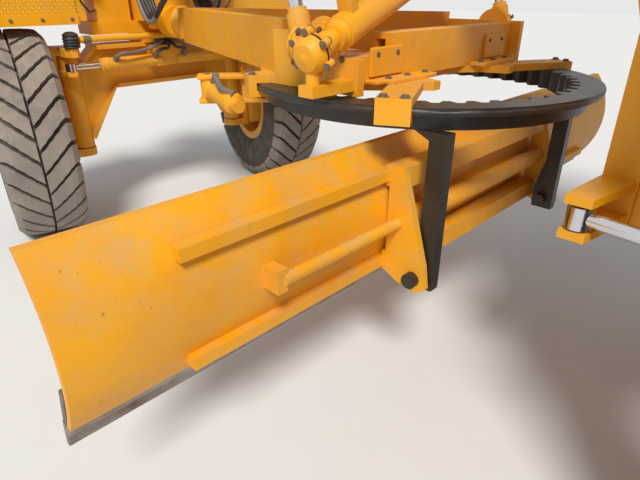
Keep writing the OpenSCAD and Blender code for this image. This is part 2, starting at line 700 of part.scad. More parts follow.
module lift_yoke(side) {
    color(yellow) mirror_y(side) translate([saddle_x, lift_y, saddle_z]) {
        difference() {
            block([-yoke_x, -yoke_y, -yoke_z], [yoke_x, yoke_y, yoke_z]);
            // hole waisted in the middle, so that the barrel can lean
            rotate_extrude($fn = 64) polygon([
                [0, -yoke_z - 1], [yoke_hole_r + lean_room, -yoke_z - 1], [yoke_hole_r, 0],
                [yoke_hole_r + lean_room, yoke_z + 1], [0, yoke_z + 1]
            ]);
            rotate([0, 90, -yoke_skew]) cylinder(h = 300, r = trunnion_r + running_gap, center = true, $fn = 48);
        }
        translate([0, -yoke_y + 1, 0]) rotate([90, 0, 0]) cylinder(h = 140, r = yoke_shaft_r, $fn = 48);
    }
}
lift_eye = [ball_x, lift_y, lift_z];
lift_top = [saddle_x, lift_y, saddle_z];
lift_len = norm(lift_top - lift_eye);
barrel_up = 960;       // barrel above the trunnion
barrel_down = 175;     // barrel below the trunnion
lift_bore_r = lift_barrel_d / 2 - 12;
module lift_barrel(side) {
    color(yellow) mirror_y(side) {
        along(lift_top, lift_top + (lift_top - lift_eye)) mirror([0, 0, 1])
            tube_barrel(-barrel_up, barrel_down, lift_barrel_d / 2, lift_bore_r, lift_rod_d / 2);
        translate(lift_top) for (a = [0, 180]) rotate([0, 90, a - yoke_skew])
            translate([0, 0, lift_barrel_d / 2 - 4]) cylinder(h = yoke_y - lift_barrel_d / 2, r = trunnion_r, $fn = 48);
    }
}
module lift_rod(side) {
    color(chrome) mirror_y(side) {
        along(lift_eye, lift_top) {
            mirror([0, 0, 1]) translate([0, 0, -lift_len - barrel_up + 80])
                piston_rod(0, lift_len + barrel_up - 80 - cap_r + 10, lift_rod_d / 2, lift_bore_r);
            translate([0, 0, cap_r - 15]) cylinder(h = 55, r = 36, $fn = 48);
        }
        translate(lift_eye) sphere(r = cap_r, $fn = 64);
    }
}

// Boxes of tread plate over the front tyres, on arms from the columns
box_x = [axle_x - 200, axle_x + 330];
box_y = [625, 1245];
box_z = [tyre_d + 22, 1840];
box_lip = 62;
module tread_plate_boxes() {
    color(yellow) both_sides() {
        difference() {
            block([box_x[0], box_y[0], box_z[0]], [box_x[1], box_y[1], box_z[1]]);
            block([box_x[0] + 12, box_y[0] + 12, box_z[0] - 1], [box_x[1] - 12, box_y[1] - 12, box_z[1] - 12]);
        }
        block([box_x[0] - 6, box_y[0] - 6, box_z[0]], [box_x[0] + 1, box_y[1] + 6, box_z[0] + box_lip]);
        // arm to the column, and the upright bracket plate beside it
        block([axle_x - 60, column_y[1] + seat_gap, 1600], [axle_x + 60, box_y[0] + 1, 1680]);
        block([axle_x - 190, 560, box_z[0] + 20], [axle_x - 170, box_y[0] + 1, 1700]);
        block([axle_x - 190, column_y[1] + 20, 1640], [axle_x - 60, 575, 1660]);
        block([axle_x - 80, column_y[1] + 20, 1610], [axle_x - 59, 575, 1670]);
    }
}
lamp_r = 85;
module head_lamps() {
    color(dark) both_sides() {
        block([nose_x[1] - 60, nose_y - 60, beam_top + seat_gap], [nose_x[1] + 20, nose_y + 40, beam_top + 60]);
        translate([nose_x[1] - 60, nose_y - 10, beam_top + 140]) rotate([0, 90, 0]) cylinder(h = 110, r = lamp_r, $fn = 48);
    }
}

// Front axle, steering
web_x = 35;
king_r = 32;
king_z = [560, axle_z - 62];
ear_t = 54;
steer_tail_y = 60;
steer_x = axle_x - 170;
steer_z = axle_z - 120;
steer_r = steer_barrel_d / 2;
steer_end_y = 500;
module steered(side) {
    translate([axle_x, side * king_y, 0]) rotate(-steer_rest) mirror_y(side) children();
}
module front_axle() {
    z0 = axle_z - 290;
    color(yellow) {
        difference() {
            union() {
                cross_plate(axle_x - web_x, axle_x + web_x, [
                    [-600, 610], [-380, z0], [380, z0], [600, 610], [king_y - 10, 600], [king_y - 10, 1080],
                    [490, axle_z - 5], [-490, axle_z - 5], [-king_y + 10, 1080], [-king_y + 10, 600]
                ]);
                block([axle_x - 100, -490, axle_z - 28], [axle_x + 100, 490, axle_z]);
                block([axle_x - 100, -385, z0 - 5], [axle_x + 100, 385, z0 + 23]);
                both_sides() {
                    cross_plate(axle_x - 62, axle_x + 62, [[485, axle_z - 28], [485, axle_z], [king_y - 20, 1100], [king_y - 20, 1070]]);
                    cross_plate(axle_x - 62, axle_x + 62, [[380, z0 - 5], [380, z0 + 26], [king_y - 50, 660], [king_y - 40, 620], [600, 610]]);
                    translate([axle_x, king_y, king_z[0]]) cylinder(h = king_z[1] - king_z[0], r = 70, $fn = 64);
                }
                block([axle_x - 130, -140, axle_z - 1], [axle_x + 130, 140, bolster_z - seat_gap]);
            }
            both_sides() translate([axle_x, king_y, 500]) cylinder(h = 700, r = king_r + running_gap, $fn = 48);
        }
        // barrels of the steering cylinders, held behind the beam
        block([steer_x - 30, -steer_tail_y - 50, steer_z - 40], [axle_x - web_x + 1, steer_tail_y + 50, axle_z - 20]);
        both_sides() translate([steer_x, steer_tail_y, steer_z]) rotate([-90, 0, 0]) difference() {
            cylinder(h = steer_end_y - steer_tail_y, r = steer_r, $fn = 48);
            translate([0, 0, 60]) cylinder(h = steer_end_y - steer_tail_y - 90, r = steer_r - 10, $fn = 48);
            translate([0, 0, steer_end_y - steer_tail_y - 31]) cylinder(h = 40, r = steer_rod_r + running_gap, $fn = 48);
        }
    }
}
steer_rod_r = 20;
steer_arm = [-170, 10];       // eye of the steering rod, from the kingpin
tie_arm = [-215, -20];        // ball of the tie rod, from the kingpin
knuckle_y = [77, 113];
module knuckle(side) {
    top_z = king_z[1] + clear;
    color(yellow) steered(side) {
        block([-90, knuckle_y[0], king_z[0] - clear - ear_t], [90, knuckle_y[1], top_z + ear_t]);
        for (z = [king_z[0] - clear - ear_t, top_z])
            translate([0, 0, z]) linear_extrude(ear_t) {
                circle(r = 74, $fn = 64);
                translate([-74, 0]) square([148, knuckle_y[1]]);
            }
        translate([0, 0, king_z[0] - clear - ear_t]) cylinder(h = top_z - king_z[0] + clear + 2 * ear_t, r = king_r, $fn = 48);
        translate([0, knuckle_y[1] - 3, tyre_r]) rotate([-90, 0, 0])
            cylinder(h = half_track - king_y + hub_cap_y - 22 - knuckle_y[1] + 3, r = spindle_r, $fn = 64);
        // arm of the tie rod and arm of the steering rod
        translate([0, 0, top_z]) linear_extrude(ear_t)
            polygon([[-50, 60], [-50, -55], [-200, -60], [-250, -40], [-250, 0], [-200, 30]]);
        translate([0, 0, steer_z - 55]) linear_extrude(30)
            polygon([[-60, knuckle_y[0]], [-60, knuckle_y[1]], [-150, 50], [-205, 38], [-205, -22], [-135, -22], [-100, 30]]);
    }
}
function turn(v, a) = [v[0] * cos(a) - v[1] * sin(a), v[0] * sin(a) + v[1] * cos(a)];
function arm_point(arm, side) = [axle_x, side * king_y] + turn([arm[0], side * arm[1]], -steer_rest);
module steer_rod(side) {
    eye = arm_point(steer_arm, side);
    rod_y = abs(eye[1]);
    color(chrome) {
        translate([steer_x, 0, steer_z]) mirror_y(side) {
            translate([0, steer_end_y - 210, 0]) rotate([-90, 0, 0]) cylinder(h = 40, r = steer_r - 10.3, $fn = 48);
            translate([0, steer_end_y - 210, 0]) rotate([-90, 0, 0])
                cylinder(h = rod_y - steer_end_y + 190, r = steer_rod_r, $fn = 48);
        }
        translate([steer_x, eye[1], steer_z - 25 + seat_gap]) cylinder(h = 50, r = 34, $fn = 48);
    }
}
module tie_rod() {
    z = king_z[1] + clear + ear_t;
    a = arm_point(tie_arm, 1);
    b = arm_point(tie_arm, -1);
    color(yellow) {
        rod([a[0], a[1], z + 50], [b[0], b[1], z + 50], 21);
        for (p = [a, b]) translate([p[0], p[1], z + seat_gap]) {
            cylinder(h = 40, r = 20, $fn = 48);
            translate([0, 0, 48]) sphere(r = 38, $fn = 48);
        }
    }
}

// Drawbar
plate_top = plate_z + plate_t;
wall_x = [ball_x - 125, ball_x - 25];
end_y = 640;                               // outer face of the drawbar's end plates
end_z = plate_top + wall_h + 8;
notch_z = plate_top + 96;                  // the walls are lower where the centre shift cylinder passes
shift_eye = [ball_x - 121, 820, 1399];
leg_z = [plate_top - 1, plate_top + leg_h];
leg_x = [draw_ball_x - cup_r - 20, ball_x + 250];
module drawbar_ball() {
    color(dark) translate([draw_ball_x, 0, draw_ball_z]) sphere(r = draw_ball_r, $fn = 64);
}
module drawbar() {
    color(yellow) {
        // cup over the ball
        difference() {
            union() {
                translate([draw_ball_x, 0, draw_ball_z]) sphere(r = cup_r, $fn = 64);
                block([leg_x[0] - 90, -75, leg_z[0] + 20], [draw_ball_x - draw_ball_r - 8, 75, leg_z[1]]);
            }
            translate([draw_ball_x, 0, draw_ball_z]) sphere(r = draw_ball_r + seat_gap, $fn = 64);
            block([draw_ball_x - 34, -200, draw_ball_z - 200], [draw_ball_x + 2 * cup_r, 200, draw_ball_z + 200]);
        }
        // legs
        translate([0, 0, leg_z[0]]) linear_extrude(leg_z[1] - leg_z[0]) both_legs();
        // rear plate, its edge cut in an arch
        translate([0, 0, plate_z]) linear_extrude(plate_t) rear_plate();
        // cross wall with end plates, lower at the left for the centre shift cylinder
        cross_wall(-end_y + 31, 400, wall_h);
        cross_wall(399, end_y - 31, notch_z - plate_top);
        for (side = [-1, 1]) {
            low = side > 0 ? notch_z : end_z;
            mirror_y(side) side_plate(end_y - 32, end_y, [
                [ball_x - 170, plate_z], [ball_x + 280, plate_z], [ball_x + 280, end_z],
                [ball_x - 4, end_z], [ball_x - 22, low], [ball_x - 170, low]
            ]);
            mirror_y(side) translate([lift_eye[0], end_y - 5, lift_eye[2]]) rotate([-90, 0, 0])
                cylinder(h = lift_y - cap_r - stud_gap - end_y + 5, r = stud_r, $fn = 48);
        }
        // stud of the centre shift cylinder
        block([shift_eye[0] - 34, end_y - 10, plate_z + 20], [shift_eye[0] + 34, shift_eye[1] + 34, plate_z + 58]);
        translate([shift_eye[0], shift_eye[1], plate_z + 57])
            cylinder(h = shift_eye[2] - cap_r - seat_gap - plate_z - 57, r = 24, $fn = 48);
        // shoes that hold the circle's flange
        for (a = shoe_angles) translate([circle_x, 0, 0]) rotate(a) {
            block([circle_r + 4, -60, shoe_z], [circle_r + 38, 60, plate_z + plate_t]);
            block([ring_body_r + 5, -60, shoe_z], [circle_r + 5, 60, ring_z[1] - ring_flange - seat_gap]);
        }
    }
}
stud_r = 18;
stud_gap = 21;                 // the lift rods' eyes swing past their studs
shoe_angles = [-118, -60, 60, 118];
module cross_wall(y0, y1, h) {
    block([wall_x[0], y0, plate_top - 1], [wall_x[0] + 28, y1, plate_top + h]);
    block([wall_x[1] - 28, y0, plate_top - 1], [wall_x[1], y1, plate_top + h]);
    block([wall_x[0], y0, plate_top + h - 22], [wall_x[1], y1, plate_top + h]);
}
module both_legs() {
    for (s = [-1, 1])
        polygon([
            [leg_x[0], s * 15], [leg_x[0], s * 75], [leg_x[1], s * (end_y - 20)], [leg_x[1], s * (end_y - 20 - leg_t * 1.06)]
        ]);
}
// rear plate: two lobes behind the wall with an arch between them
lobe_x = ball_x - 290;
arch_x = ball_x - 90;
module rear_plate() {
    difference() {
        polygon([
            [lobe_x, -335], [lobe_x, 335], [ball_x - 40, 570], [ball_x + 340, 655], [circle_x + circle_r + 45, 300],
            [circle_x + circle_r + 45, -300], [ball_x + 340, -655], [ball_x - 40, -570]
        ]);
        polygon([
            [lobe_x - 1, -290], [lobe_x - 1, 290], [arch_x - 90, 250], [arch_x - 20, 170], [arch_x, 60],
            [arch_x, -60], [arch_x - 20, -170], [arch_x - 90, -250]
        ]);
        // opening inside the circle, ahead of the wall
        translate([circle_x + 330, 0]) circle(r = 210, $fn = 64);
    }
    // arms out to the circle's shoes
    for (a = shoe_angles) translate([circle_x, 0]) rotate(a) translate([380, -60]) square([circle_r + 38 - 380, 120]);
}
// Centre shift cylinder from the drawbar's left end to the saddle
shift_r = shift_barrel_d / 2;
shift_rod_r = 30;
shift_len = norm(shift_top - shift_eye);
shift_end = shift_len - 400;
shift_neck = 166;
module shift_barrel() {
    color(yellow) {
        along(shift_eye, shift_top) {
            tube_barrel(shift_neck, shift_end, shift_r, shift_r - 12, shift_rod_r);
            translate([0, 0, 40]) cylinder(h = shift_neck - 35, r = 26, $fn = 48);
        }
        translate(shift_eye) sphere(r = cap_r, $fn = 64);
    }
}
module shift_rod() {
    color(chrome) {
        along(shift_eye, shift_top) piston_rod(shift_end - 350, shift_len - 30, shift_rod_r, shift_r - 12);
        along(shift_top, shift_eye) cylinder(h = cap_r + 10, r = 36, $fn = 48);
        translate(shift_top) sphere(r = cap_r, $fn = 64);
    }
}

// Circle with teeth inside, and the arms that carry the blade
circle_r = circle_d / 2;
circle_x = ball_x;
ring_z = [plate_z - seat_gap - ring_h, plate_z - seat_gap];
tooth_h = 34;
ring_flange = 30;              // height of the flange that the shoes hold
ring_body_r = circle_r - 50;
shoe_z = ring_z[1] - ring_flange - 26;
inner_r = circle_r - ring_w;
blade_x = circle_x - 195;      // cutting edge
tip_pivot = [circle_x - 460, 600];
arm_ys = [540, 590];
module blade_circle() {
    color(dark) {
        translate([circle_x, 0, ring_z[0]]) difference() {
            union() {
                cylinder(h = ring_h, r = ring_body_r, $fn = 96);
                translate([0, 0, ring_h - ring_flange]) cylinder(h = ring_flange, r = circle_r, $fn = 96);
            }
            translate([0, 0, -1]) linear_extrude(ring_h + 2)
                polygon([for (i = [0 : teeth - 1], k = [0 : 3])
                    let (a = (i + [0, 0.3, 0.5, 0.8][k]) * 360 / teeth, r = k < 2 ? inner_r : inner_r - tooth_h)
                    [r * cos(a), r * sin(a)]]);
        }
        both_sides() {
            side_plate(arm_ys[0], arm_ys[1], [
                [tip_pivot[0] - 60, tip_pivot[1] - 50], [tip_pivot[0] + 40, tip_pivot[1] - 50],
                [tip_pivot[0] + 48, tip_pivot[1] + 40], [tip_pivot[0] + 10, tip_pivot[1] + 200],
                [tip_pivot[0] + 10, ring_z[0] - 30], [tip_pivot[0] + 80, ring_z[0] + 1], [tip_pivot[0] - 60, ring_z[0] + 1]
            ]);
            translate([tip_pivot[0], arm_ys[0] - 40, tip_pivot[1]]) rotate([-90, 0, 0]) cylinder(h = 160, r = 30, $fn = 48);
        }
    }
}

// Blade and its bracket
curve_r = 413;                 // inner radius of the blade's curve
edge_h = 60;                   // bare height of the cutting edge
curve_z = [blade_z + edge_h, blade_z + blade_h];
curve_mid = (curve_z[0] + curve_z[1]) / 2;
curve_half = (curve_z[1] - curve_z[0]) / 2;
curve_x = blade_x + sqrt(curve_r * curve_r - curve_half * curve_half);
back_r = curve_r + blade_t;
rail_off = 175;                // height of the back rails from the middle of the curve
back_rail_x = [curve_x - back_r - 5, curve_x - back_r + 42];
rail_half = 20;
rail_y_end = 1500;
guide_x = back_rail_x[0] - 62;
shift_axis = [curve_x - back_r - 52, curve_mid];
side_shift = 550;              // travel of the blade each way
side_rod_r = 22;
side_r = 40;
bracket_y = [600, 630];
module xz_extrude(len) {
    rotate([90, 0, 0]) linear_extrude(len, center = true) children();
}
module blade() {
    color(yellow) {
        xz_extrude(blade_l) intersection() {
            difference() {
                translate([curve_x, curve_mid]) circle(r = back_r, $fn = 96);
                translate([curve_x, curve_mid]) circle(r = curve_r, $fn = 96);
            }
            translate([curve_x - 2 * curve_r, curve_z[0]]) square([2 * curve_r, curve_z[1] - curve_z[0]]);
        }
        for (s = [-1, 1])
            block([back_rail_x[0], -rail_y_end, curve_mid + s * rail_off - rail_half],
                  [back_rail_x[1], rail_y_end, curve_mid + s * rail_off + rail_half]);
        block([shift_axis[0] - 10, side_lug_y - 20, shift_axis[1] - 40], [curve_x - curve_r - 8, side_lug_y + 20, shift_axis[1] + 40]);
    }
    color(grey) xz_extrude(blade_l)
        polygon([
            [blade_x - 24, curve_z[0] + 40], [blade_x - 2, curve_z[0] + 40], [blade_x + 8, curve_z[0]],
            [blade_x + 22, blade_z], [blade_x + 4, blade_z], [blade_x - 16, curve_z[0]]
        ]);
    color(chrome) translate([shift_axis[0], -20, shift_axis[1]]) rotate([-90, 0, 0]) {
        cylinder(h = side_lug_y + 10, r = side_rod_r, $fn = 48);
        cylinder(h = 40, r = side_r - 10.3, $fn = 48);
    }
}
side_lug_y = side_shift + 660;
module blade_bracket() {
    g = seat_gap;
    color(yellow) difference() {
        union() {
            both_sides() side_plate(bracket_y[0], bracket_y[1], [
                [tip_pivot[0] - 55, tip_pivot[1] - 30], [tip_pivot[0] - 20, tip_pivot[1] - 55], [tip_pivot[0] + 60, tip_pivot[1] - 45],
                [back_rail_x[0] - g, curve_mid - rail_off - rail_half - 20], [back_rail_x[0] - g, curve_mid + rail_off + rail_half + 20],
                [guide_x + 5, curve_mid + rail_off + rail_half + 20], [tip_pivot[0] - 40, tip_pivot[1] + 60]
            ]);
            // guides along both rails
            for (s = [-1, 1])
                block([guide_x, -bracket_y[1], curve_mid + s * rail_off - rail_half - 20],
                      [back_rail_x[0] + 18, bracket_y[1], curve_mid + s * rail_off + rail_half + 20]);
            translate([shift_axis[0], -bracket_y[1] - 10, shift_axis[1]]) rotate([-90, 0, 0])
                cylinder(h = 2 * bracket_y[1], r = side_r, $fn = 48);
        }
        for (s = [-1, 1])
            block([back_rail_x[0] - g, -bracket_y[1] - 1, curve_mid + s * rail_off - rail_half - g],
                  [back_rail_x[0] + 60, bracket_y[1] + 1, curve_mid + s * rail_off + rail_half + g]);
        translate([shift_axis[0], -bracket_y[1] + 10, shift_axis[1]]) rotate([-90, 0, 0])
            cylinder(h = 2 * bracket_y[1] - 50, r = side_r - 10, $fn = 48);
        translate([shift_axis[0], 0, shift_axis[1]]) rotate([-90, 0, 0])
            cylinder(h = bracket_y[1] + 10, r = side_rod_r + running_gap, $fn = 48);
        translate([tip_pivot[0], 0, tip_pivot[1]]) rotate([90, 0, 0])
            cylinder(h = 2 * bracket_y[1] + 100, r = 30 + running_gap, center = true, $fn = 48);
    }
}

// Wheels on their spindles
rear_hub_in = half_track - case_y - 8;
front_hub_in = half_track - king_y - knuckle_y[1] - 8;
module front_wheel(side) {
    steered(side) translate([0, half_track - king_y, tyre_r]) children();
}
module front_tyre(side) {
    color(black) front_wheel(side) tyre_shape();
}
module front_rim(side) {
    color(yellow) front_wheel(side) rim_shape(front_hub_in);
}

rear_frame();
rear_bumper();
engine_block();
engine_hood();
rear_grille();
exhaust_stack();
fuel_tank();
tandem_axle();
cab_floor();
cab_shell();
cab_roof();
cab_glass();
seat();
steering_console();
steps();
door(1);  // door_left
door(-1);  // door_right
door_glass(1);  // door_glass_left
door_glass(-1);  // door_glass_right
tyre_at(wheel_xs[1], 1);  // tyre_rear_left
rim_at(wheel_xs[1], 1, rear_hub_in);  // rim_rear_left
tyre_at(wheel_xs[1], -1);  // tyre_rear_right
rim_at(wheel_xs[1], -1, rear_hub_in);  // rim_rear_right
tyre_at(wheel_xs[0], 1);  // tyre_middle_left
rim_at(wheel_xs[0], 1, rear_hub_in);  // rim_middle_left
tyre_at(wheel_xs[0], -1);  // tyre_middle_right
rim_at(wheel_xs[0], -1, rear_hub_in);  // rim_middle_right
front_frame();
articulation_barrel(1);  // articulation_barrel_left
articulation_barrel(-1);  // articulation_barrel_right
articulation_rod(1);  // articulation_rod_left
articulation_rod(-1);  // articulation_rod_right
lift_saddle();
tread_plate_boxes();
head_lamps();
front_axle();
steer_rod(1);  // steer_rod_left
steer_rod(-1);  // steer_rod_right
knuckle(1);  // knuckle_left
knuckle(-1);  // knuckle_right
tie_rod();
front_tyre(1);  // tyre_front_left
front_rim(1);  // rim_front_left
front_tyre(-1);  // tyre_front_right
front_rim(-1);  // rim_front_right
drawbar_ball();
drawbar();
lift_yoke(1);  // lift_yoke_left
lift_yoke(-1);  // lift_yoke_right
lift_barrel(1);  // lift_barrel_left
lift_barrel(-1);  // lift_barrel_right
lift_rod(1);  // lift_rod_left
lift_rod(-1);  // lift_rod_right
shift_barrel();
shift_rod();
blade_circle();
blade_bracket();
blade();
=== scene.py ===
# Looks of the motor grader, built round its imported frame
import json
import math
import random

import bpy
from mathutils import Matrix, Vector


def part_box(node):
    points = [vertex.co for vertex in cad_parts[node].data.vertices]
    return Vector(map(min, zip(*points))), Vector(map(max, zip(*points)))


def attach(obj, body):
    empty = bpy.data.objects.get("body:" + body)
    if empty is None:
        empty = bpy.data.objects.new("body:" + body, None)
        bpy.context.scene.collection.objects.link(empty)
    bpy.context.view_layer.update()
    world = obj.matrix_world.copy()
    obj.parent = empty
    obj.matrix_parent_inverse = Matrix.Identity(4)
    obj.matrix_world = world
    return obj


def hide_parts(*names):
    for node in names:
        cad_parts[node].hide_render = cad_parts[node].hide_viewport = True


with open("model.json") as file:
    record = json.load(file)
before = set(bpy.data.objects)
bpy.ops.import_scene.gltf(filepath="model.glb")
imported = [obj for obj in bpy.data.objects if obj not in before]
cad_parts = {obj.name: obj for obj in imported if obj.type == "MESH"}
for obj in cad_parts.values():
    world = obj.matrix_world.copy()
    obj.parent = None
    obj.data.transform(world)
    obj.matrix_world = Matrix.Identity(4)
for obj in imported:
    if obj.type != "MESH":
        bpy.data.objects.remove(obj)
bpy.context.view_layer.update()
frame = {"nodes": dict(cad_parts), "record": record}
print("frame loaded")


# Colours are written as they show, 0 to 255
def rgb(red, green, blue):
    linear = []
    for value in (red, green, blue):
        v = value / 255
        linear.append(v / 12.92 if v <= 0.04045 else ((v + 0.055) / 1.055) ** 2.4)
    return (*linear, 1)


# Node materials
def addNode(tree, kind, **settings):
    node = tree.nodes.new(kind)
    for key, value in settings.items():
        setattr(node, key, value)
    return node


def noise(tree, place, scale, detail=4, roughness=0.55, stretch=None):
    node = addNode(tree, "ShaderNodeTexNoise")
    node.inputs["Scale"].default_value = scale
    node.inputs["Detail"].default_value = detail
    node.inputs["Roughness"].default_value = roughness
    if stretch:
        mapping = addNode(tree, "ShaderNodeMapping")
        mapping.inputs["Scale"].default_value = stretch
        tree.links.new(place, mapping.inputs["Vector"])
        place = mapping.outputs["Vector"]
    tree.links.new(place, node.inputs["Vector"])
    return node.outputs["Fac"]


def ramp(tree, value, low, high, outLow=0.0, outHigh=1.0):
    node = addNode(tree, "ShaderNodeMapRange")
    node.inputs["From Min"].default_value = low
    node.inputs["From Max"].default_value = high
    node.inputs["To Min"].default_value = outLow
    node.inputs["To Max"].default_value = outHigh
    tree.links.new(value, node.inputs["Value"])
    return node.outputs["Result"]


def feed(tree, sockets, values):
    for socket, value in zip(sockets, values):
        if hasattr(value, "links"):
            tree.links.new(value, socket)
        else:
            socket.default_value = value


def combine(tree, operation, first, second):
    # a sum, product or choice that stays between 0 and 1
    node = addNode(tree, "ShaderNodeMath", operation=operation, use_clamp=True)
    feed(tree, node.inputs, (first, second))
    return node.outputs["Value"]


def combineRaw(tree, operation, first, second):
    node = addNode(tree, "ShaderNodeMath", operation=operation)
    feed(tree, node.inputs, (first, second))
    return node.outputs["Value"]


def mixColour(tree, share, first, second):
    node = addNode(tree, "ShaderNodeMix", data_type="RGBA")
    feed(tree, (node.inputs[0], node.inputs[6], node.inputs[7]), (share, first, second))
    return node.outputs[2]


def bump(tree, height, strength, distance, before=None):
    node = addNode(tree, "ShaderNodeBump")
    node.inputs["Strength"].default_value = strength
    node.inputs["Distance"].default_value = distance
    tree.links.new(height, node.inputs["Height"])
    if before is not None:
        tree.links.new(before, node.inputs["Normal"])
    return node.outputs["Normal"]


def startMaterial(name):
    material = bpy.data.materials.new(name)
    material.use_nodes = True
    tree = material.node_tree
    tree.nodes.clear()
    coordinates = addNode(tree, "ShaderNodeTexCoord")
    shader = addNode(tree, "ShaderNodeBsdfPrincipled")
    output = addNode(tree, "ShaderNodeOutputMaterial")
    tree.links.new(shader.outputs["BSDF"], output.inputs["Surface"])
    return material, tree, coordinates, shader


# Weathered paint, iron or rubber: fade, dust that lies on what faces up, rust and chips, fine grain
weathered = {
    "yellowPaint": {
        "base": rgb(243, 172, 6), "fade": rgb(234, 160, 18), "dust": rgb(200, 166, 110),
        "rust": rgb(126, 70, 34), "dustShare": 0.38, "rustShare": 0.10, "rough": 0.42, "grain": 0.12,
    },
    "dustyYellow": {
        "base": rgb(240, 168, 12), "fade": rgb(226, 154, 28), "dust": rgb(196, 164, 112),
        "rust": rgb(112, 66, 36), "dustShare": 0.8, "rustShare": 0.26, "rough": 0.5, "grain": 0.2,
    },
    "rimYellow": {
        "base": rgb(231, 168, 48), "fade": rgb(214, 154, 62), "dust": rgb(186, 160, 124),
        "rust": rgb(118, 70, 38), "dustShare": 0.5, "rustShare": 0.16, "rough": 0.48, "grain": 0.16,
    },
    "darkPaint": {
        "base": rgb(44, 44, 46), "fade": rgb(60, 58, 56), "dust": rgb(150, 134, 112),
        "rust": rgb(90, 56, 36), "dustShare": 0.4, "rustShare": 0.12, "rough": 0.5, "grain": 0.2,
    },
    "darkPlastic": {
        "base": rgb(38, 38, 40), "fade": rgb(50, 50, 52), "dust": rgb(140, 128, 112),
        "rust": rgb(52, 50, 48), "dustShare": 0.25, "rustShare": 0.05, "rough": 0.6, "grain": 0.3,
    },
    "engineIron": {
        "base": rgb(92, 92, 92), "fade": rgb(74, 72, 70), "dust": rgb(132, 118, 98),
        "rust": rgb(98, 62, 40), "dustShare": 0.4, "rustShare": 0.3, "rough": 0.6, "grain": 0.5,
    },
    "ringIron": {
        "base": rgb(38, 33, 29), "fade": rgb(58, 48, 40), "dust": rgb(104, 90, 74),
        "rust": rgb(78, 54, 38), "dustShare": 0.35, "rustShare": 0.35, "rough": 0.38, "grain": 0.8,
    },
    "tyreRubber": {
        "base": rgb(58, 55, 53), "fade": rgb(80, 75, 70), "dust": rgb(150, 138, 124),
        "rust": rgb(44, 41, 40), "dustShare": 0.85, "rustShare": 0.3, "rough": 0.82, "grain": 0.6,
    },
    "dustyTread": {
        "base": rgb(128, 120, 112), "fade": rgb(150, 140, 130), "dust": rgb(176, 163, 148),
        "rust": rgb(62, 58, 55), "dustShare": 0.8, "rustShare": 0.3, "rough": 0.88, "grain": 0.7,
    },
    "hoseRubber": {
        "base": rgb(30, 30, 32), "fade": rgb(46, 45, 46), "dust": rgb(128, 118, 104),
        "rust": rgb(70, 66, 60), "dustShare": 0.3, "rustShare": 0.2, "rough": 0.42, "grain": 0.25,
    },
    "greyHose": {
        "base": rgb(104, 104, 106), "fade": rgb(128, 124, 118), "dust": rgb(152, 142, 126),
        "rust": rgb(62, 60, 58), "dustShare": 0.4, "rustShare": 0.25, "rough": 0.5, "grain": 0.35,
    },
    "cutSteel": {
        "base": rgb(118, 112, 106), "fade": rgb(92, 84, 78), "dust": rgb(150, 134, 112),
        "rust": rgb(122, 78, 50), "dustShare": 0.35, "rustShare": 0.5, "rough": 0.42, "grain": 0.4,
        "metallic": 0.6,
    },
    "boltSteel": {
        "base": rgb(120, 104, 84), "fade": rgb(96, 84, 70), "dust": rgb(156, 138, 112),
        "rust": rgb(98, 64, 44), "dustShare": 0.4, "rustShare": 0.3, "rough": 0.45, "grain": 0.2,
    },
}


def treadPlateHeight(tree, coordinates, look):
    # raised lozenges that lie by turns along and across the plate, on whichever way it faces
    place = addNode(tree, "ShaderNodeSeparateXYZ")
    tree.links.new(coordinates.outputs["Object"], place.inputs["Vector"])
    facing = addNode(tree, "ShaderNodeSeparateXYZ")
    tree.links.new(coordinates.outputs["Normal"], facing.inputs["Vector"])
    faces = []
    for axis in facing.outputs:
        faces.append(combineRaw(tree, "GREATER_THAN", combineRaw(tree, "ABSOLUTE", axis, 0), 0.7))
    x, y, z = place.outputs
    swap = combineRaw(tree, "MULTIPLY", combineRaw(tree, "SUBTRACT", y, x), faces[0])
    along = combineRaw(tree, "ADD", x, swap)
    swap = combineRaw(tree, "MULTIPLY", combineRaw(tree, "SUBTRACT", y, z), faces[2])
    up = combineRaw(tree, "ADD", z, swap)
    turned = []
    for way in ("ADD", "SUBTRACT"):
        turned.append(combineRaw(tree, "MULTIPLY", combineRaw(tree, way, along, up), 0.7071))
    heights = []
    for turn in (0, 1):
        terms = []
        for axis in (0, 1):
            size = look["long"] if axis == turn else look["short"]
            cell = combineRaw(tree, "ADD", turned[axis], look["pitch"] * (50 + 0.5 * turn))
            cell = combineRaw(tree, "DIVIDE", cell, look["pitch"])
            cell = combineRaw(tree, "FRACT", cell, 0)
            cell = combineRaw(tree, "SUBTRACT", cell, 0.5)
            cell = combineRaw(tree, "MULTIPLY", cell, look["pitch"] / size)
            terms.append(combineRaw(tree, "MULTIPLY", cell, cell))
        reach = combineRaw(tree, "ADD", terms[0], terms[1])
        heights.append(ramp(tree, reach, 1.2, 0.5))
    raised = combine(tree, "MAXIMUM", heights[0], heights[1])
    above = combineRaw(tree, "GREATER_THAN", z, look["plainBelow"])
    return combine(tree, "MULTIPLY", raised, above)


def insideBox(tree, coordinates, low, high):
    # 1 where the piece lies between two corners, else 0
    place = addNode(tree, "ShaderNodeSeparateXYZ")
    tree.links.new(coordinates.outputs["Object"], place.inputs["Vector"])
    inside = None
    for axis in range(3):
        for operation, limit in (("GREATER_THAN", low[axis]), ("LESS_THAN", high[axis])):
            side = combineRaw(tree, operation, place.outputs[axis], limit)
            inside = side if inside is None else combineRaw(tree, "MULTIPLY", inside, side)
    return inside


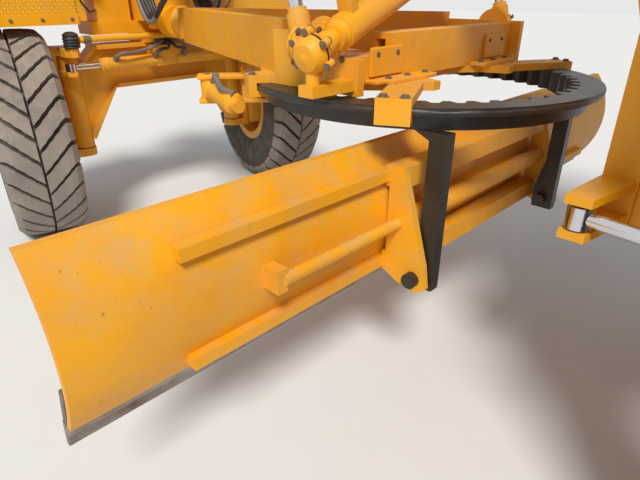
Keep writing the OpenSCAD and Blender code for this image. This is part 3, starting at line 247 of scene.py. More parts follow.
def makeWeathered(name, look, plate=None, bare=None):
    material, tree, coordinates, shader = startMaterial(name)
    place = coordinates.outputs["Object"]
    upward = addNode(tree, "ShaderNodeSeparateXYZ")
    tree.links.new(coordinates.outputs["Normal"], upward.inputs["Vector"])
    facing = ramp(tree, upward.outputs["Z"], -0.2, 0.9, 0.25, 1.0)
    blotches = noise(tree, place, 2.2, 5, 0.6)
    patches = noise(tree, place, 9.0, 6, 0.65)
    grain = noise(tree, place, 160.0, 3, 0.6)
    colour = mixColour(tree, ramp(tree, blotches, 0.38, 0.68), look["base"], look["fade"])
    dustSpread = ramp(tree, patches, 0.42, 0.72)
    dustMask = combine(tree, "MULTIPLY", combine(tree, "MULTIPLY", dustSpread, facing), look["dustShare"])
    colour = mixColour(tree, dustMask, colour, look["dust"])
    chips = noise(tree, place, 34.0, 5, 0.7)
    chipMask = combine(tree, "MULTIPLY", ramp(tree, chips, 0.66, 0.72), ramp(tree, patches, 0.45, 0.6))
    chipMask = combine(tree, "MULTIPLY", chipMask, min(1.0, look["rustShare"] * 4))
    colour = mixColour(tree, chipMask, colour, look["rust"])
    runs = noise(tree, place, 14.0, 4, 0.6, stretch=(1, 1, 0.12))
    runMask = combine(tree, "MULTIPLY", ramp(tree, runs, 0.64, 0.78), look["rustShare"])
    colour = mixColour(tree, runMask, colour, look["rust"])
    if plate:
        raised = treadPlateHeight(tree, coordinates, plate)
        # the lozenges take a paler colour: on the yellow plate this is a painted highlight on the raised tops
        # as well as wear
        colour = mixColour(tree, combine(tree, "MULTIPLY", raised, 0.55), colour, plate["paleTone"])
    tree.links.new(colour, shader.inputs["Base Color"])
    roughness = combineRaw(tree, "MULTIPLY_ADD", dustMask, 0.3)
    roughness.node.inputs[2].default_value = look["rough"]
    roughness = combine(tree, "ADD", roughness, ramp(tree, grain, 0.3, 0.7, -0.04, 0.08))
    shader.inputs["Metallic"].default_value = look.get("metallic", 0.0)
    if bare:
        # bare metal between two corners of the piece
        inside = insideBox(tree, coordinates, bare["low"], bare["high"])
        metal = mixColour(tree, ramp(tree, patches, 0.4, 0.7), bare["bright"], bare["dull"])
        colour = mixColour(tree, inside, colour, metal)
        tree.links.new(colour, shader.inputs["Base Color"])
        keep = combineRaw(tree, "SUBTRACT", 1.0, inside)
        roughness = combineRaw(tree, "MULTIPLY", roughness, keep)
        roughness = combineRaw(tree, "ADD", roughness, combineRaw(tree, "MULTIPLY", inside, bare["rough"]))
        tree.links.new(inside, shader.inputs["Metallic"])
    tree.links.new(roughness, shader.inputs["Roughness"])
    normal = bump(tree, grain, look["grain"], 0.0015)
    normal = bump(tree, patches, look["grain"] * 0.5, 0.004, normal)
    normal = bump(tree, chipMask, 0.3, -0.001, normal)
    if plate:
        normal = bump(tree, raised, 0.9, 0.004, normal)
    tree.links.new(normal, shader.inputs["Normal"])
    return material


materials = {name: makeWeathered(name, look) for name, look in weathered.items()}
# the paler yellow on the box plate's lozenges is a painted highlight on the raised tops, with some wear
boxPlate = {"pitch": 0.027, "long": 0.0118, "short": 0.0036, "plainBelow": 1.458, "paleTone": rgb(246, 196, 74)}
stepPlate = {"pitch": 0.034, "long": 0.0145, "short": 0.0042, "plainBelow": 0.1, "paleTone": rgb(120, 118, 114)}
edgeBare = {
    "low": (0.9, -2, 0.46), "high": (1.1, 2, 0.571), "bright": rgb(150, 142, 134), "dull": rgb(112, 88, 70),
    "rough": 0.42,
}
materials["bladePaint"] = makeWeathered("bladePaint", weathered["dustyYellow"], bare=edgeBare)
materials["treadPlateYellow"] = makeWeathered("treadPlateYellow", weathered["yellowPaint"], plate=boxPlate)
materials["treadPlateDark"] = makeWeathered("treadPlateDark", weathered["darkPaint"], plate=stepPlate)


def makeChrome():
    material, tree, coordinates, shader = startMaterial("chromeRod")
    place = coordinates.outputs["Object"]
    wipe = noise(tree, place, 3.0, 4, 0.6)
    film = noise(tree, place, 60.0, 4, 0.6)
    mask = combine(tree, "MULTIPLY", ramp(tree, wipe, 0.5, 0.7), 0.35)
    tree.links.new(mixColour(tree, mask, rgb(214, 216, 220), rgb(150, 140, 126)), shader.inputs["Base Color"])
    shader.inputs["Metallic"].default_value = 1.0
    tree.links.new(ramp(tree, film, 0.3, 0.7, 0.1, 0.24), shader.inputs["Roughness"])
    tree.links.new(bump(tree, film, 0.04, 0.0005), shader.inputs["Normal"])
    return material


def makeGlass():
    material, tree, coordinates, shader = startMaterial("cabPane")
    smear = noise(tree, coordinates.outputs["Object"], 5.0, 5, 0.6)
    colour = mixColour(tree, smear, rgb(214, 226, 226), rgb(196, 206, 200))
    tree.links.new(colour, shader.inputs["Base Color"])
    shader.inputs["Transmission Weight"].default_value = 0.92
    shader.inputs["IOR"].default_value = 1.2
    tree.links.new(ramp(tree, smear, 0.45, 0.75, 0.02, 0.14), shader.inputs["Roughness"])
    tree.links.new(bump(tree, smear, 0.02, 0.001), shader.inputs["Normal"])
    return material


def makeLens(name, colour, glow):
    material, tree, coordinates, shader = startMaterial(name)
    flutes = addNode(tree, "ShaderNodeTexWave", wave_type="BANDS", bands_direction="Y")
    flutes.inputs["Scale"].default_value = 60.0
    tree.links.new(coordinates.outputs["Object"], flutes.inputs["Vector"])
    dirt = noise(tree, coordinates.outputs["Object"], 30.0, 4, 0.6)
    soiled = mixColour(tree, ramp(tree, dirt, 0.5, 0.8, 0, 0.5), colour, rgb(150, 138, 116))
    tree.links.new(soiled, shader.inputs["Base Color"])
    tree.links.new(ramp(tree, dirt, 0.3, 0.7, 0.08, 0.3), shader.inputs["Roughness"])
    shader.inputs["Coat Weight"].default_value = glow
    tree.links.new(bump(tree, flutes.outputs["Fac"], 0.4, 0.002), shader.inputs["Normal"])
    return material


def makeSeatCloth():
    material, tree, coordinates, shader = startMaterial("seatCloth")
    place = coordinates.outputs["Object"]
    threads = []
    for direction in ("X", "Y", "Z"):
        wave = addNode(tree, "ShaderNodeTexWave", wave_type="BANDS", bands_direction=direction)
        wave.inputs["Scale"].default_value = 130.0
        wave.inputs["Distortion"].default_value = 0.6
        tree.links.new(place, wave.inputs["Vector"])
        threads.append(wave.outputs["Fac"])
    weave = combineRaw(tree, "MULTIPLY", combineRaw(tree, "ADD", threads[0], threads[2]), threads[1])
    # worn patches of the cloth, in a paler tone
    paleTone = noise(tree, place, 7.0, 4, 0.6)
    colour = mixColour(tree, paleTone, rgb(44, 44, 48), rgb(62, 60, 60))
    colour = mixColour(tree, ramp(tree, weave, 0.1, 1.2, 0, 0.5), colour, rgb(92, 92, 96))
    tree.links.new(colour, shader.inputs["Base Color"])
    shader.inputs["Roughness"].default_value = 0.9
    shader.inputs["Sheen Weight"].default_value = 0.25
    tree.links.new(bump(tree, weave, 0.5, 0.0012), shader.inputs["Normal"])
    return material


materials["chromeRod"] = makeChrome()
materials["cabPane"] = makeGlass()
materials["seatCloth"] = makeSeatCloth()
materials["clearLens"] = makeLens("clearLens", rgb(226, 228, 226), 0.6)
materials["amberLens"] = makeLens("amberLens", rgb(226, 118, 20), 0.6)
materials["redLens"] = makeLens("redLens", rgb(166, 26, 22), 0.6)

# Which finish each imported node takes: by its slot, or by name where it differs
slotFinish = {
    "yellow": "yellowPaint", "dark_paint": "darkPaint", "dark_plastic": "darkPlastic",
    "engine_iron": "engineIron", "ring_iron": "ringIron", "tyre_rubber": "tyreRubber",
    "rod_chrome": "chromeRod", "cab_pane": "cabPane", "seat_cloth": "seatCloth",
}
nodeFinish = {
    "drawbar": "dustyYellow", "blade_bracket": "dustyYellow", "blade": "bladePaint",
    "front_axle": "dustyYellow", "knuckle_left": "dustyYellow", "knuckle_right": "dustyYellow",
    "tandem_axle": "dustyYellow", "tread_plate_boxes": "treadPlateYellow", "steps": "treadPlateDark",
    "cab_floor": "treadPlateDark", "drawbar_ball": "dustyYellow",
}
slotOfNode = {part["node"]: part["material_slot"] for part in frame["record"]["subparts"]}
for nodeName, node in frame["nodes"].items():
    finish = nodeFinish.get(nodeName, slotFinish[slotOfNode[nodeName]])
    if nodeName.startswith("rim_"):
        finish = "rimYellow"
    node.data.materials.clear()
    node.data.materials.append(materials[finish])
print("finishes on the frame")


# Camera at the photograph's place: left of the machine, beside the cab's front
cameraPlace = {"location": (-0.177, 2.047, 1.579), "azimuth": -45.62, "pitch": 26.38, "focalPixels": 500.0}


def placeCamera(place):
    azimuth, pitch = math.radians(place["azimuth"]), math.radians(place["pitch"])
    level = math.cos(pitch)
    look = Vector((math.cos(azimuth) * level, math.sin(azimuth) * level, -math.sin(pitch)))
    data = bpy.data.cameras.new("camera")
    data.sensor_width = 36
    data.lens = place["focalPixels"] / 640 * 36
    data.clip_start = 0.02
    data.clip_end = 200
    camera = bpy.data.objects.new("camera", data)
    camera.location = place["location"]
    camera.rotation_euler = look.to_track_quat("-Z", "Y").to_euler()
    bpy.context.scene.collection.objects.link(camera)
    bpy.context.scene.camera = camera


studio = {"floorSize": 90, "floorTone": 0.78, "worldStrength": 0.42, "sunStrength": 3.0, "sunWidth": 16,
          "sunWay": (0.6, -0.6, -0.95)}


def setStudio(look):
    # pale floor, a dim blue-white sky that the camera sees as white, and one wide soft sun
    bpy.ops.object.select_all(action="DESELECT")
    bpy.ops.mesh.primitive_plane_add(size=look["floorSize"], location=(0, 0, 0))
    floor = bpy.context.object
    floor.name = "floor"
    material, tree, coordinates, shader = startMaterial("paleFloor")
    speckle = noise(tree, coordinates.outputs["Object"], 3.0, 5, 0.6)
    tone = look["floorTone"]
    colour = mixColour(tree, speckle, (tone, tone, tone, 1), (tone * 0.96, tone * 0.95, tone * 0.94, 1))
    tree.links.new(colour, shader.inputs["Base Color"])
    shader.inputs["Roughness"].default_value = 0.9
    floor.data.materials.append(material)
    world = bpy.data.worlds.new("studio")
    bpy.context.scene.world = world
    world.use_nodes = True
    nodes = world.node_tree
    nodes.nodes.clear()
    rays = addNode(nodes, "ShaderNodeLightPath")
    sky = addNode(nodes, "ShaderNodeBackground")
    sky.inputs["Color"].default_value = (0.93, 0.96, 1.0, 1)
    sky.inputs["Strength"].default_value = look["worldStrength"]
    white = addNode(nodes, "ShaderNodeBackground")
    white.inputs["Strength"].default_value = 1.0
    seen = combine(nodes, "MAXIMUM", rays.outputs["Is Camera Ray"], rays.outputs["Is Glossy Ray"])
    seen = combine(nodes, "MAXIMUM", seen, rays.outputs["Is Transmission Ray"])
    choose = addNode(nodes, "ShaderNodeMixShader")
    output = addNode(nodes, "ShaderNodeOutputWorld")
    nodes.links.new(seen, choose.inputs[0])
    nodes.links.new(sky.outputs[0], choose.inputs[1])
    nodes.links.new(white.outputs[0], choose.inputs[2])
    nodes.links.new(choose.outputs[0], output.inputs["Surface"])
    sun = bpy.data.lights.new("sun", "SUN")
    sun.energy = look["sunStrength"]
    sun.angle = math.radians(look["sunWidth"])
    sun.color = (1.0, 0.97, 0.92)
    lamp = bpy.data.objects.new("sun", sun)
    lamp.rotation_euler = Vector(look["sunWay"]).to_track_quat("-Z", "Y").to_euler()
    bpy.context.scene.collection.objects.link(lamp)
    bpy.context.scene.view_settings.view_transform = "Standard"


placeCamera(cameraPlace)
setStudio(studio)
print("camera and studio")


# Ways of making pieces that the whole machine uses
def deselectAll():
    if bpy.context.mode != "OBJECT":
        bpy.ops.object.mode_set(mode="OBJECT")
    bpy.ops.object.select_all(action="DESELECT")


def makeActive(obj):
    deselectAll()
    obj.select_set(True)
    bpy.context.view_layer.objects.active = obj


def pickFaces(obj, test):
    # leaves edit mode with only the faces selected whose middle and normal pass the test
    bpy.ops.object.mode_set(mode="OBJECT")
    for polygon in obj.data.polygons:
        polygon.select = test(polygon.center, polygon.normal)
    for edge in obj.data.edges:
        edge.select = False
    for vertex in obj.data.vertices:
        vertex.select = False
    bpy.ops.object.mode_set(mode="EDIT")
    bpy.ops.mesh.select_mode(type="FACE")
    bpy.ops.object.mode_set(mode="OBJECT")
    for polygon in obj.data.polygons:
        polygon.select = test(polygon.center, polygon.normal)
    bpy.ops.object.mode_set(mode="EDIT")


def bevelAll(obj, width, segments=2, angle=35):
    modifier = obj.modifiers.new("edges", "BEVEL")
    modifier.width = width
    modifier.segments = segments
    modifier.limit_method = "ANGLE"
    modifier.angle_limit = math.radians(angle)
    makeActive(obj)
    bpy.ops.object.modifier_apply(modifier=modifier.name)


def smoothByAngle(obj, angle=35):
    makeActive(obj)
    bpy.ops.object.shade_smooth_by_angle(angle=math.radians(angle))


def applyPlace(obj):
    makeActive(obj)
    bpy.ops.object.transform_apply(location=True, rotation=True, scale=True)


def joinPieces(name, parts):
    deselectAll()
    for part in parts:
        part.select_set(True)
    bpy.context.view_layer.objects.active = parts[0]
    if len(parts) > 1:
        bpy.ops.object.join()
    joined = bpy.context.object
    joined.name = name
    joined.data.name = name
    return joined


slotOfFinish = {
    "yellowPaint": "yellow", "dustyYellow": "yellow", "darkPlastic": "dark_plastic",
    "chromeRod": "rod_chrome", "ringIron": "ring_iron", "seatCloth": "seat_cloth",
    "clearLens": "cab_pane", "amberLens": "cab_pane", "redLens": "cab_pane",
}


def finishPiece(obj, body, finish=None, slotName=None):
    # a piece without a finish keeps the materials that its parts already have
    applyPlace(obj)
    if finish:
        obj.data.materials.clear()
        obj.data.materials.append(materials[finish])
    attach(obj, body)
    slotName or slotOfFinish.get(finish, "dark_paint")
    return obj


def towards(direction):
    return Vector(direction).to_track_quat("Z", "Y").to_matrix().to_4x4()


def copyAt(template, matrix):
    twin = template.copy()
    twin.data = template.data.copy()
    twin.matrix_world = matrix @ template.matrix_world
    bpy.context.scene.collection.objects.link(twin)
    return twin


def dropTemplate(template):
    bpy.data.objects.remove(template, do_unlink=True)


def makeBlock(low, high, bevel=0.003):
    deselectAll()
    middle = [(a + b) / 2 for a, b in zip(low, high)]
    bpy.ops.mesh.primitive_cube_add(size=1, location=middle)
    block = bpy.context.object
    block.scale = [abs(b - a) for a, b in zip(low, high)]
    applyPlace(block)
    bevelAll(block, bevel)
    return block


def makeTurned(start, direction, steps, sides=32):
    # a round piece along a line: steps of (distance along, radius)
    deselectAll()
    first = steps[0]
    bpy.ops.mesh.primitive_circle_add(vertices=sides, radius=first[1], fill_type="NGON",
                                      location=(0, 0, first[0]))
    turned = bpy.context.object
    bpy.ops.object.mode_set(mode="EDIT")
    bpy.ops.mesh.select_all(action="SELECT")
    along, radius = first
    for distance, size in steps[1:]:
        bpy.ops.mesh.extrude_region_move(TRANSFORM_OT_translate={"value": (0, 0, distance - along)})
        share = size / radius
        bpy.ops.transform.resize(value=(share, share, 1))
        along, radius = distance, size
    bpy.ops.mesh.select_all(action="SELECT")
    bpy.ops.mesh.normals_make_consistent(inside=False)
    bpy.ops.object.mode_set(mode="OBJECT")
    lift = Matrix.Translation((0, 0, first[0]))
    turned.matrix_world = Matrix.Translation(start) @ towards(direction) @ lift
    applyPlace(turned)
    smoothByAngle(turned, 30)
    return turned


def turnedPiece(name, body, start, direction, steps, sides, finish, slotName=None):
    piece = makeTurned(start, direction, steps, sides)
    piece.name = name
    return finishPiece(piece, body, finish, slotName)


def blockPiece(name, body, low, high, bevel, finish):
    piece = makeBlock(low, high, bevel)
    piece.name = name
    return finishPiece(piece, body, finish)


def faceOut(obj):
    makeActive(obj)
    bpy.ops.object.mode_set(mode="EDIT")
    bpy.ops.mesh.select_all(action="SELECT")
    bpy.ops.mesh.normals_make_consistent(inside=False)
    bpy.ops.object.mode_set(mode="OBJECT")


def sidePoints(side, base, offsets):
    # points measured from a base, mirrored on the right side
    return [(base[0] + x, side * (base[1] + y), base[2] + z) for x, y, z in offsets]


def boxMiddle(name):
    low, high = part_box(name)
    return (Vector(low) + Vector(high)) / 2


bothSides = ((1, "left"), (-1, "right"))

# Hexagon bolts with washers, joined into one piece for each body; shares of the head's radius
boltLook = {
    "head": {"sides": 6, "reach": 1, "thick": 0.62, "middle": 0.5, "inset": 0.14, "dome": 0.07},
    "washer": {"sides": 14, "reach": 1.5, "thick": 0.22, "middle": 0.1, "inset": 0.12, "dome": 0.04},
}


def makeBolt(size):
    parts = []
    for look in boltLook.values():
        deselectAll()
        bpy.ops.mesh.primitive_cylinder_add(vertices=look["sides"], radius=size * look["reach"],
                                            depth=size * look["thick"],
                                            location=(0, 0, size * look["middle"]))
        disc = bpy.context.object
        pickFaces(disc, lambda middle, normal: normal.z > 0.9)
        bpy.ops.mesh.inset(thickness=size * look["inset"], depth=size * look["dome"])
        bpy.ops.object.mode_set(mode="OBJECT")
        parts.append(disc)
    bolt = joinPieces("bolt", parts)
    applyPlace(bolt)
    return bolt


def placeBolts(name, body, spots, finish="boltSteel"):
    # spots hold the place of a bolt's foot, its direction and its size
    templates = {}
    parts = []
    for place, direction, size in spots:
        if size not in templates:
            templates[size] = makeBolt(size)
        parts.append(copyAt(templates[size], Matrix.Translation(place) @ towards(direction)))
    for template in templates.values():
        dropTemplate(template)
    return finishPiece(joinPieces(name, parts), body, finish)


# Hydraulic hoses: a smooth line through chosen points, with a crimped fitting at each end
def makeTube(points, radius, sides=6):
    curve = bpy.data.curves.new("hose", "CURVE")
    curve.dimensions = "3D"
    curve.bevel_depth = radius
    curve.bevel_resolution = sides // 2
    curve.resolution_u = 8
    curve.use_fill_caps = True
    line = curve.splines.new("BEZIER")
    line.bezier_points.add(len(points) - 1)
    for point, place in zip(line.bezier_points, points):
        point.co = place
        point.handle_left_type = "AUTO"
        point.handle_right_type = "AUTO"
    tube = bpy.data.objects.new("hose", curve)
    bpy.context.scene.collection.objects.link(tube)
    makeActive(tube)
    bpy.ops.object.convert(target="MESH")
    tube = bpy.context.object
    for polygon in tube.data.polygons:
        polygon.use_smooth = True
    return tube


def makeHose(name, body, points, radius, finish="hoseRubber", endFinish="boltSteel"):
    points = [Vector(point) for point in points]
    tube = makeTube(points, radius)
    tube.data.materials.append(materials[finish])
    parts = [tube]
    for end, inner in ((points[0], points[1]), (points[-1], points[-2])):
        way = (inner - end).normalized()
        steps = [(-0.004, radius * 1.5), (radius * 1.6, radius * 1.5), (radius * 1.7, radius * 1.2),
                 (radius * 3.6, radius * 1.3), (radius * 3.8, radius * 1.02)]
        fitting = makeTurned(end, way, steps, 12)
        fitting.data.materials.append(materials[endFinish])
        parts.append(fitting)
    hose = joinPieces(name, parts)
    return finishPiece(hose, body)


# Tyres: carcass with shoulders and ribbed sidewalls, and stepped diagonal lugs, modelled once
tyreLook = {
    "carcassRadius": 0.655, "tipRadius": 0.684, "halfWidth": 0.219, "beadRadius": 0.318, "beadHalf": 0.172,
    "lugsPerSide": 30, "lugWidth": 0.112, "lugSkew": -0.03, "blockStep": -0.014, "blocks": 4,
}


def makeCarcass(look):
    deselectAll()
    bpy.ops.mesh.primitive_cylinder_add(vertices=96, radius=look["carcassRadius"],
                                        depth=look["halfWidth"] * 1.5, rotation=(math.radians(90), 0, 0))
    carcass = bpy.context.object
    applyPlace(carcass)
    pickFaces(carcass, lambda middle, normal: abs(normal.y) > 0.9)
    shoulder = look["halfWidth"] * 0.25
    drop = look["carcassRadius"] - look["beadRadius"]
    steps = [(0.028, shoulder * 0.55), (0.04, shoulder * 0.35), (0.06, shoulder * 0.1), (0.012, 0.004),
             (0.01, -0.004), (0.1, -0.004), (0.05, -0.018)]
    inward = 0
    for thickness, depth in steps:
        bpy.ops.mesh.inset(thickness=thickness, depth=depth)
        inward += thickness
    bpy.ops.mesh.inset(thickness=drop - inward, depth=look["beadHalf"] - look["halfWidth"] + 0.012)
    bpy.ops.mesh.delete(type="FACE")
    bpy.ops.object.mode_set(mode="OBJECT")
    smoothByAngle(carcass, 40)
    return carcass


def makeLug(look):
    # a chain of blocks from the shoulder to the middle of the tread, each stepped sideways
    half, width = look["halfWidth"], look["lugWidth"]
    deselectAll()
    bpy.ops.mesh.primitive_cube_add(size=1, location=(0, half - 0.02, 0))
    lug = bpy.context.object
    lug.scale = (width, 0.036, 0.05)
    applyPlace(lug)
    length = (half - 0.045) / look["blocks"]
    for block in range(look["blocks"]):
        end = half - 0.03 - block * length
        pickFaces(lug, lambda middle, normal: normal.y < -0.9 and middle.y < end)
        for sideways, share in ((look["lugSkew"], 0.8), (look["blockStep"], 0.2)):
            step = (sideways, -length * share, 0)
            bpy.ops.mesh.extrude_region_move(TRANSFORM_OT_translate={"value": step})
        bpy.ops.object.mode_set(mode="OBJECT")
    bevelAll(lug, 0.004, 1)
    top, foot = look["tipRadius"], look["carcassRadius"] - 0.03
    for vertex in lug.data.vertices:
        place = vertex.co
        edge = max(0, (abs(place.y) - half * 0.72) / (half * 0.28))
        crown = top - 0.006 * (place.y / half) ** 2 - 0.05 * edge ** 2
        radius = crown if place.z > 0 else foot - 0.03 * edge
        angle = place.x / top
        vertex.co = (math.sin(angle) * radius, place.y, math.cos(angle) * radius)
    return lug


def makeTyre(look):
    parts = [makeCarcass(look)]
    parts[0].data.materials.append(materials["tyreRubber"])
    lug = makeLug(look)
    lug.data.materials.append(materials["dustyTread"])
    for index in range(look["lugsPerSide"]):
        for side in (0, 1):
            turn = Matrix.Rotation((index + side * 0.5) * math.tau / look["lugsPerSide"], 4, "Y")
            mirror = Matrix.Scale(-1, 4, (0, 1, 0)) if side else Matrix.Identity(4)
            parts.append(copyAt(lug, turn @ mirror))
    dropTemplate(lug)
    for part in parts[1:]:
        applyPlace(part)
    tyre = joinPieces("tyre", parts)
    faceOut(tyre)
    return tyre


# The front wheels are stored turned to the right, as in the photograph
steerRest = -13


def placeTyres():
    template = makeTyre(tyreLook)
    for axle in ("front", "middle", "rear"):
        for side, sideName in bothSides:
            node = f"tyre_{axle}_{sideName}"
            turn = math.radians(steerRest) if axle == "front" else 0
            mirror = Matrix.Scale(side, 4, (0, 1, 0))
            matrix = Matrix.Translation(boxMiddle(node)) @ Matrix.Rotation(turn, 4, "Z") @ mirror
            tyre = copyAt(template, matrix)
            tyre.name = f"treaded_{node}"
            applyPlace(tyre)
            if side < 0:
                faceOut(tyre)
            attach(tyre, f"wheel_{axle}_{sideName}")
            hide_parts(node)
    dropTemplate(template)


placeTyres()
print("tyres")


# Front axle: rubber boots on the tie rod's ball joints, hoses and fittings of the steering cylinders
steering = {
    "kingpin": (3.6, 0.67), "tieArm": (-0.215, -0.02), "tieHeight": 1.3, "barrel": (3.43, 0, 1.13),
    "nutStart": 0.075, "nut": [(0, 0.02016), (0, 0.02436), (0.05, 0.02436), (0.05, 0.02016)],
    "glandStart": 0.455,
    "gland": [(0, 0.04), (0, 0.047), (0.035, 0.047), (0.04, 0.043), (0.062, 0.043), (0.066, 0.03)],
    "port": [(0, 0.02), (0.022, 0.02), (0.024, 0.015), (0.04, 0.015)], "portPlaces": (0.12, 0.42),
    "portOut": (-0.028, 0.026), "hoseRadius": 0.011,
    "outerHose": [(-0.055, 0.42, 0.05), (-0.075, 0.39, 0.068), (-0.07, 0.3, 0.07), (-0.066, 0.2, 0.085),
                  (-0.06, 0.1, 0.11), (-0.02, 0.045, 0.13), (0.03, 0.04, 0.125)],
    "innerHose": [(-0.055, 0.12, 0.05), (-0.085, 0.1, 0.075), (-0.085, 0.03, 0.09), (-0.05, 0.015, 0.12),
                  (0.03, 0.012, 0.125)],
}
bootLook = {"radius": 0.054, "foldHeight": 0.017, "folds": 4, "foldDepth": 0.84}


def turnedArm(arm, side, turn):
    x, y = arm[0], side * arm[1]
    c, s = math.cos(math.radians(turn)), math.sin(math.radians(turn))
    return (steering["kingpin"][0] + x * c - y * s, side * steering["kingpin"][1] + x * s + y * c)


def makeBoot(name, place, look):
    steps = [(-0.052, 0.016), (-0.048, look["radius"] * 0.75)]
    for fold in range(look["folds"]):
        foot = -0.042 + fold * look["foldHeight"]
        steps.append((foot, look["radius"]))
        steps.append((foot + look["foldHeight"] * 0.6, look["radius"] * look["foldDepth"]))
    steps += [(0.034, look["radius"] * 0.9), (0.047, look["radius"] * 0.6), (0.052, 0.016)]
    turnedPiece(name, "tie_rod", place, (0, 0, 1), steps, 28, "hoseRubber", "dark_plastic")


def dressSteering(side, name, look):
    ball = Vector((*turnedArm(look["tieArm"], side, steerRest), look["tieHeight"]))
    makeBoot(f"tie_rod_boot_{name}", ball, bootLook)
    along = Vector((0, -side, 0))
    turnedPiece(f"tie_rod_nut_{name}", "tie_rod", ball + along * look["nutStart"], along, look["nut"], 32,
                "boltSteel")
    # head and ports of the steering barrel, with the hoses that feed its two ends
    x, y, height = look["barrel"]
    turnedPiece(f"steering_gland_{name}", "front_frame", (x, side * look["glandStart"], height), (0, side, 0),
                look["gland"], 36, "dustyYellow")
    back, up = look["portOut"]
    for spot in look["portPlaces"]:
        turnedPiece(f"steering_port_{name}_{int(spot * 100)}", "front_frame",
                    (x + back, side * spot, height + up), (-1, 0, 1), look["port"], 16, "boltSteel")
    route = sidePoints(side, look["barrel"], look["outerHose"])
    makeHose(f"steering_hose_outer_{name}", "front_frame", route, look["hoseRadius"], "greyHose")
    route = sidePoints(side, look["barrel"], look["innerHose"])
    makeHose(f"steering_hose_inner_{name}", "front_frame", route, look["hoseRadius"])


for side, sideName in bothSides:
    dressSteering(side, sideName, steering)
blockPiece("steering_manifold", "front_frame", (3.455, -0.075, 1.2), (3.53, 0.075, 1.29), 0.006, "boltSteel")

# Boxes over the tyres: bolts in the lip and on top, and a thin cable beside the bracket plate
boxLook = {
    "lipX": 3.394, "lipHeight": 1.423, "lipYs": (0.66, 0.84, 1.02, 1.2), "lipBolt": 0.008,
    "topXs": (3.46, 3.87), "topHeight": 1.84, "topYs": (0.7, 0.94, 1.18), "topBolt": 0.012,
    "cable": [(3.408, 0.6, 1.69), (3.396, 0.606, 1.64), (3.394, 0.598, 1.56), (3.392, 0.57, 1.5),
              (3.396, 0.545, 1.47), (3.43, 0.53, 1.46), (3.5, 0.46, 1.47)],
}


def dressBoxes(look):
    spots = []
    for side, name in bothSides:
        for y in look["lipYs"]:
            spots.append(((look["lipX"], side * y, look["lipHeight"]), (-1, 0, 0), look["lipBolt"]))
        for y in look["topYs"]:
            for x in look["topXs"]:
                spots.append(((x, side * y, look["topHeight"]), (0, 0, 1), look["topBolt"]))
        makeHose(f"lamp_cable_{name}", "front_frame", sidePoints(side, (0, 0, 0), look["cable"]), 0.006)
    placeBolts("tread_box_bolts", "front_frame", spots)


dressBoxes(boxLook)
print("front axle and boxes")

# Hose loops that hang between the beam and the nose, ahead of the drawbar's ball
hoseLoops = [
    {"shift": 0.0, "radius": 0.019, "finish": "greyHose"},
    {"shift": 0.055, "radius": 0.016, "finish": "hoseRubber"},
    {"shift": 0.105, "radius": 0.016, "finish": "hoseRubber"},
    {"shift": 0.15, "radius": 0.014, "finish": "hoseRubber"},
    {"shift": 0.19, "radius": 0.014, "finish": "hoseRubber"},
]


def makeHoseLoops(side, name):
    for index, loop in enumerate(hoseLoops):
        back = loop["shift"]
        low = 1.4 + 0.35 * back
        route = [(3.43 - back * 0.3, side * 0.165, 1.87), (3.405 - back * 0.5, side * 0.19, 1.78),
                 (3.36 - back * 0.7, side * 0.215, 1.62), (3.29 - back * 0.75, side * 0.225, low + 0.07),
                 (3.2 - back * 0.6, side * 0.225, low), (3.08 - back * 0.4, side * 0.215, low + 0.08),
                 (2.98 - back * 0.3, side * 0.185, 1.6), (2.93 - back * 0.2, side * 0.15, 1.76),
                 (2.92 - back * 0.2, side * 0.12, 1.885)]
        makeHose(f"frame_hose_{name}_{index}", "front_frame", route, loop["radius"], loop["finish"])


for side, sideName in bothSides:
    makeHoseLoops(side, sideName)
print("hose loops")


# Drawbar, lift cylinders and centre shift cylinder
ballX = 1.18
liftEye = Vector((ballX, 0.745, 1.415))
liftTop = Vector((ballX + 0.15, 0.745, 1.99))
shiftEye = Vector((ballX - 0.121, 0.82, 1.399))
shiftTop = Vector((ballX + 0.05, -0.35, 1.785))


def mirrored(point, side):
    return Vector((point[0], point[1] * side, point[2]))


def aroundRing(middle, axis, radius, count, offset=0.0):
    # places on a circle about an axis
    frameTurn = towards(axis)
    for index in range(count):
        angle = math.tau * index / count + offset
        yield middle + (frameTurn @ Vector((math.cos(angle) * radius, math.sin(angle) * radius, 0)))


def ballShell(radius, last):
    # the round end of a rod's eye, in steps of a sixteenth of half a turn
    steps = [(-radius, 0.004)]
    for index in range(1, last):
        angle = math.pi * index / 16
        steps.append((-radius * math.cos(angle), radius * math.sin(angle)))
    return steps


liftLook = {
    "shell": 0.0565, "bolt": 0.0085, "boltRing": 0.071, "capAxis": (1, 0, 0.25), "pipeRadius": 0.008,
    "collar": [(0.045, 0.041), (0.1, 0.041), (0.105, 0.034), (0.118, 0.034), (0.12, 0.0255)],
    "cap": [(-0.016, 0.0555), (-0.016, 0.066), (-0.003, 0.066), (-0.003, 0.0612), (0.003, 0.0612),
            (0.003, 0.066), (0.016, 0.066), (0.016, 0.0555)],
    "gland": [(-0.012, 0.03), (-0.012, 0.05), (0, 0.0535), (0.004, 0.06), (0.05, 0.06), (0.054, 0.0562)],
    "head": [(-0.05, 0.0562), (-0.046, 0.06), (-0.004, 0.06), (0.006, 0.05), (0.006, 0.02)],
    "glandBelow": 0.175, "headAbove": 0.96,
    "pipe": [(0.2, 0.052), (0.22, 0.078), (0.3, 0.08), (0.7, 0.08), (0.98, 0.08), (1.06, 0.078),
             (1.08, 0.052)],
}


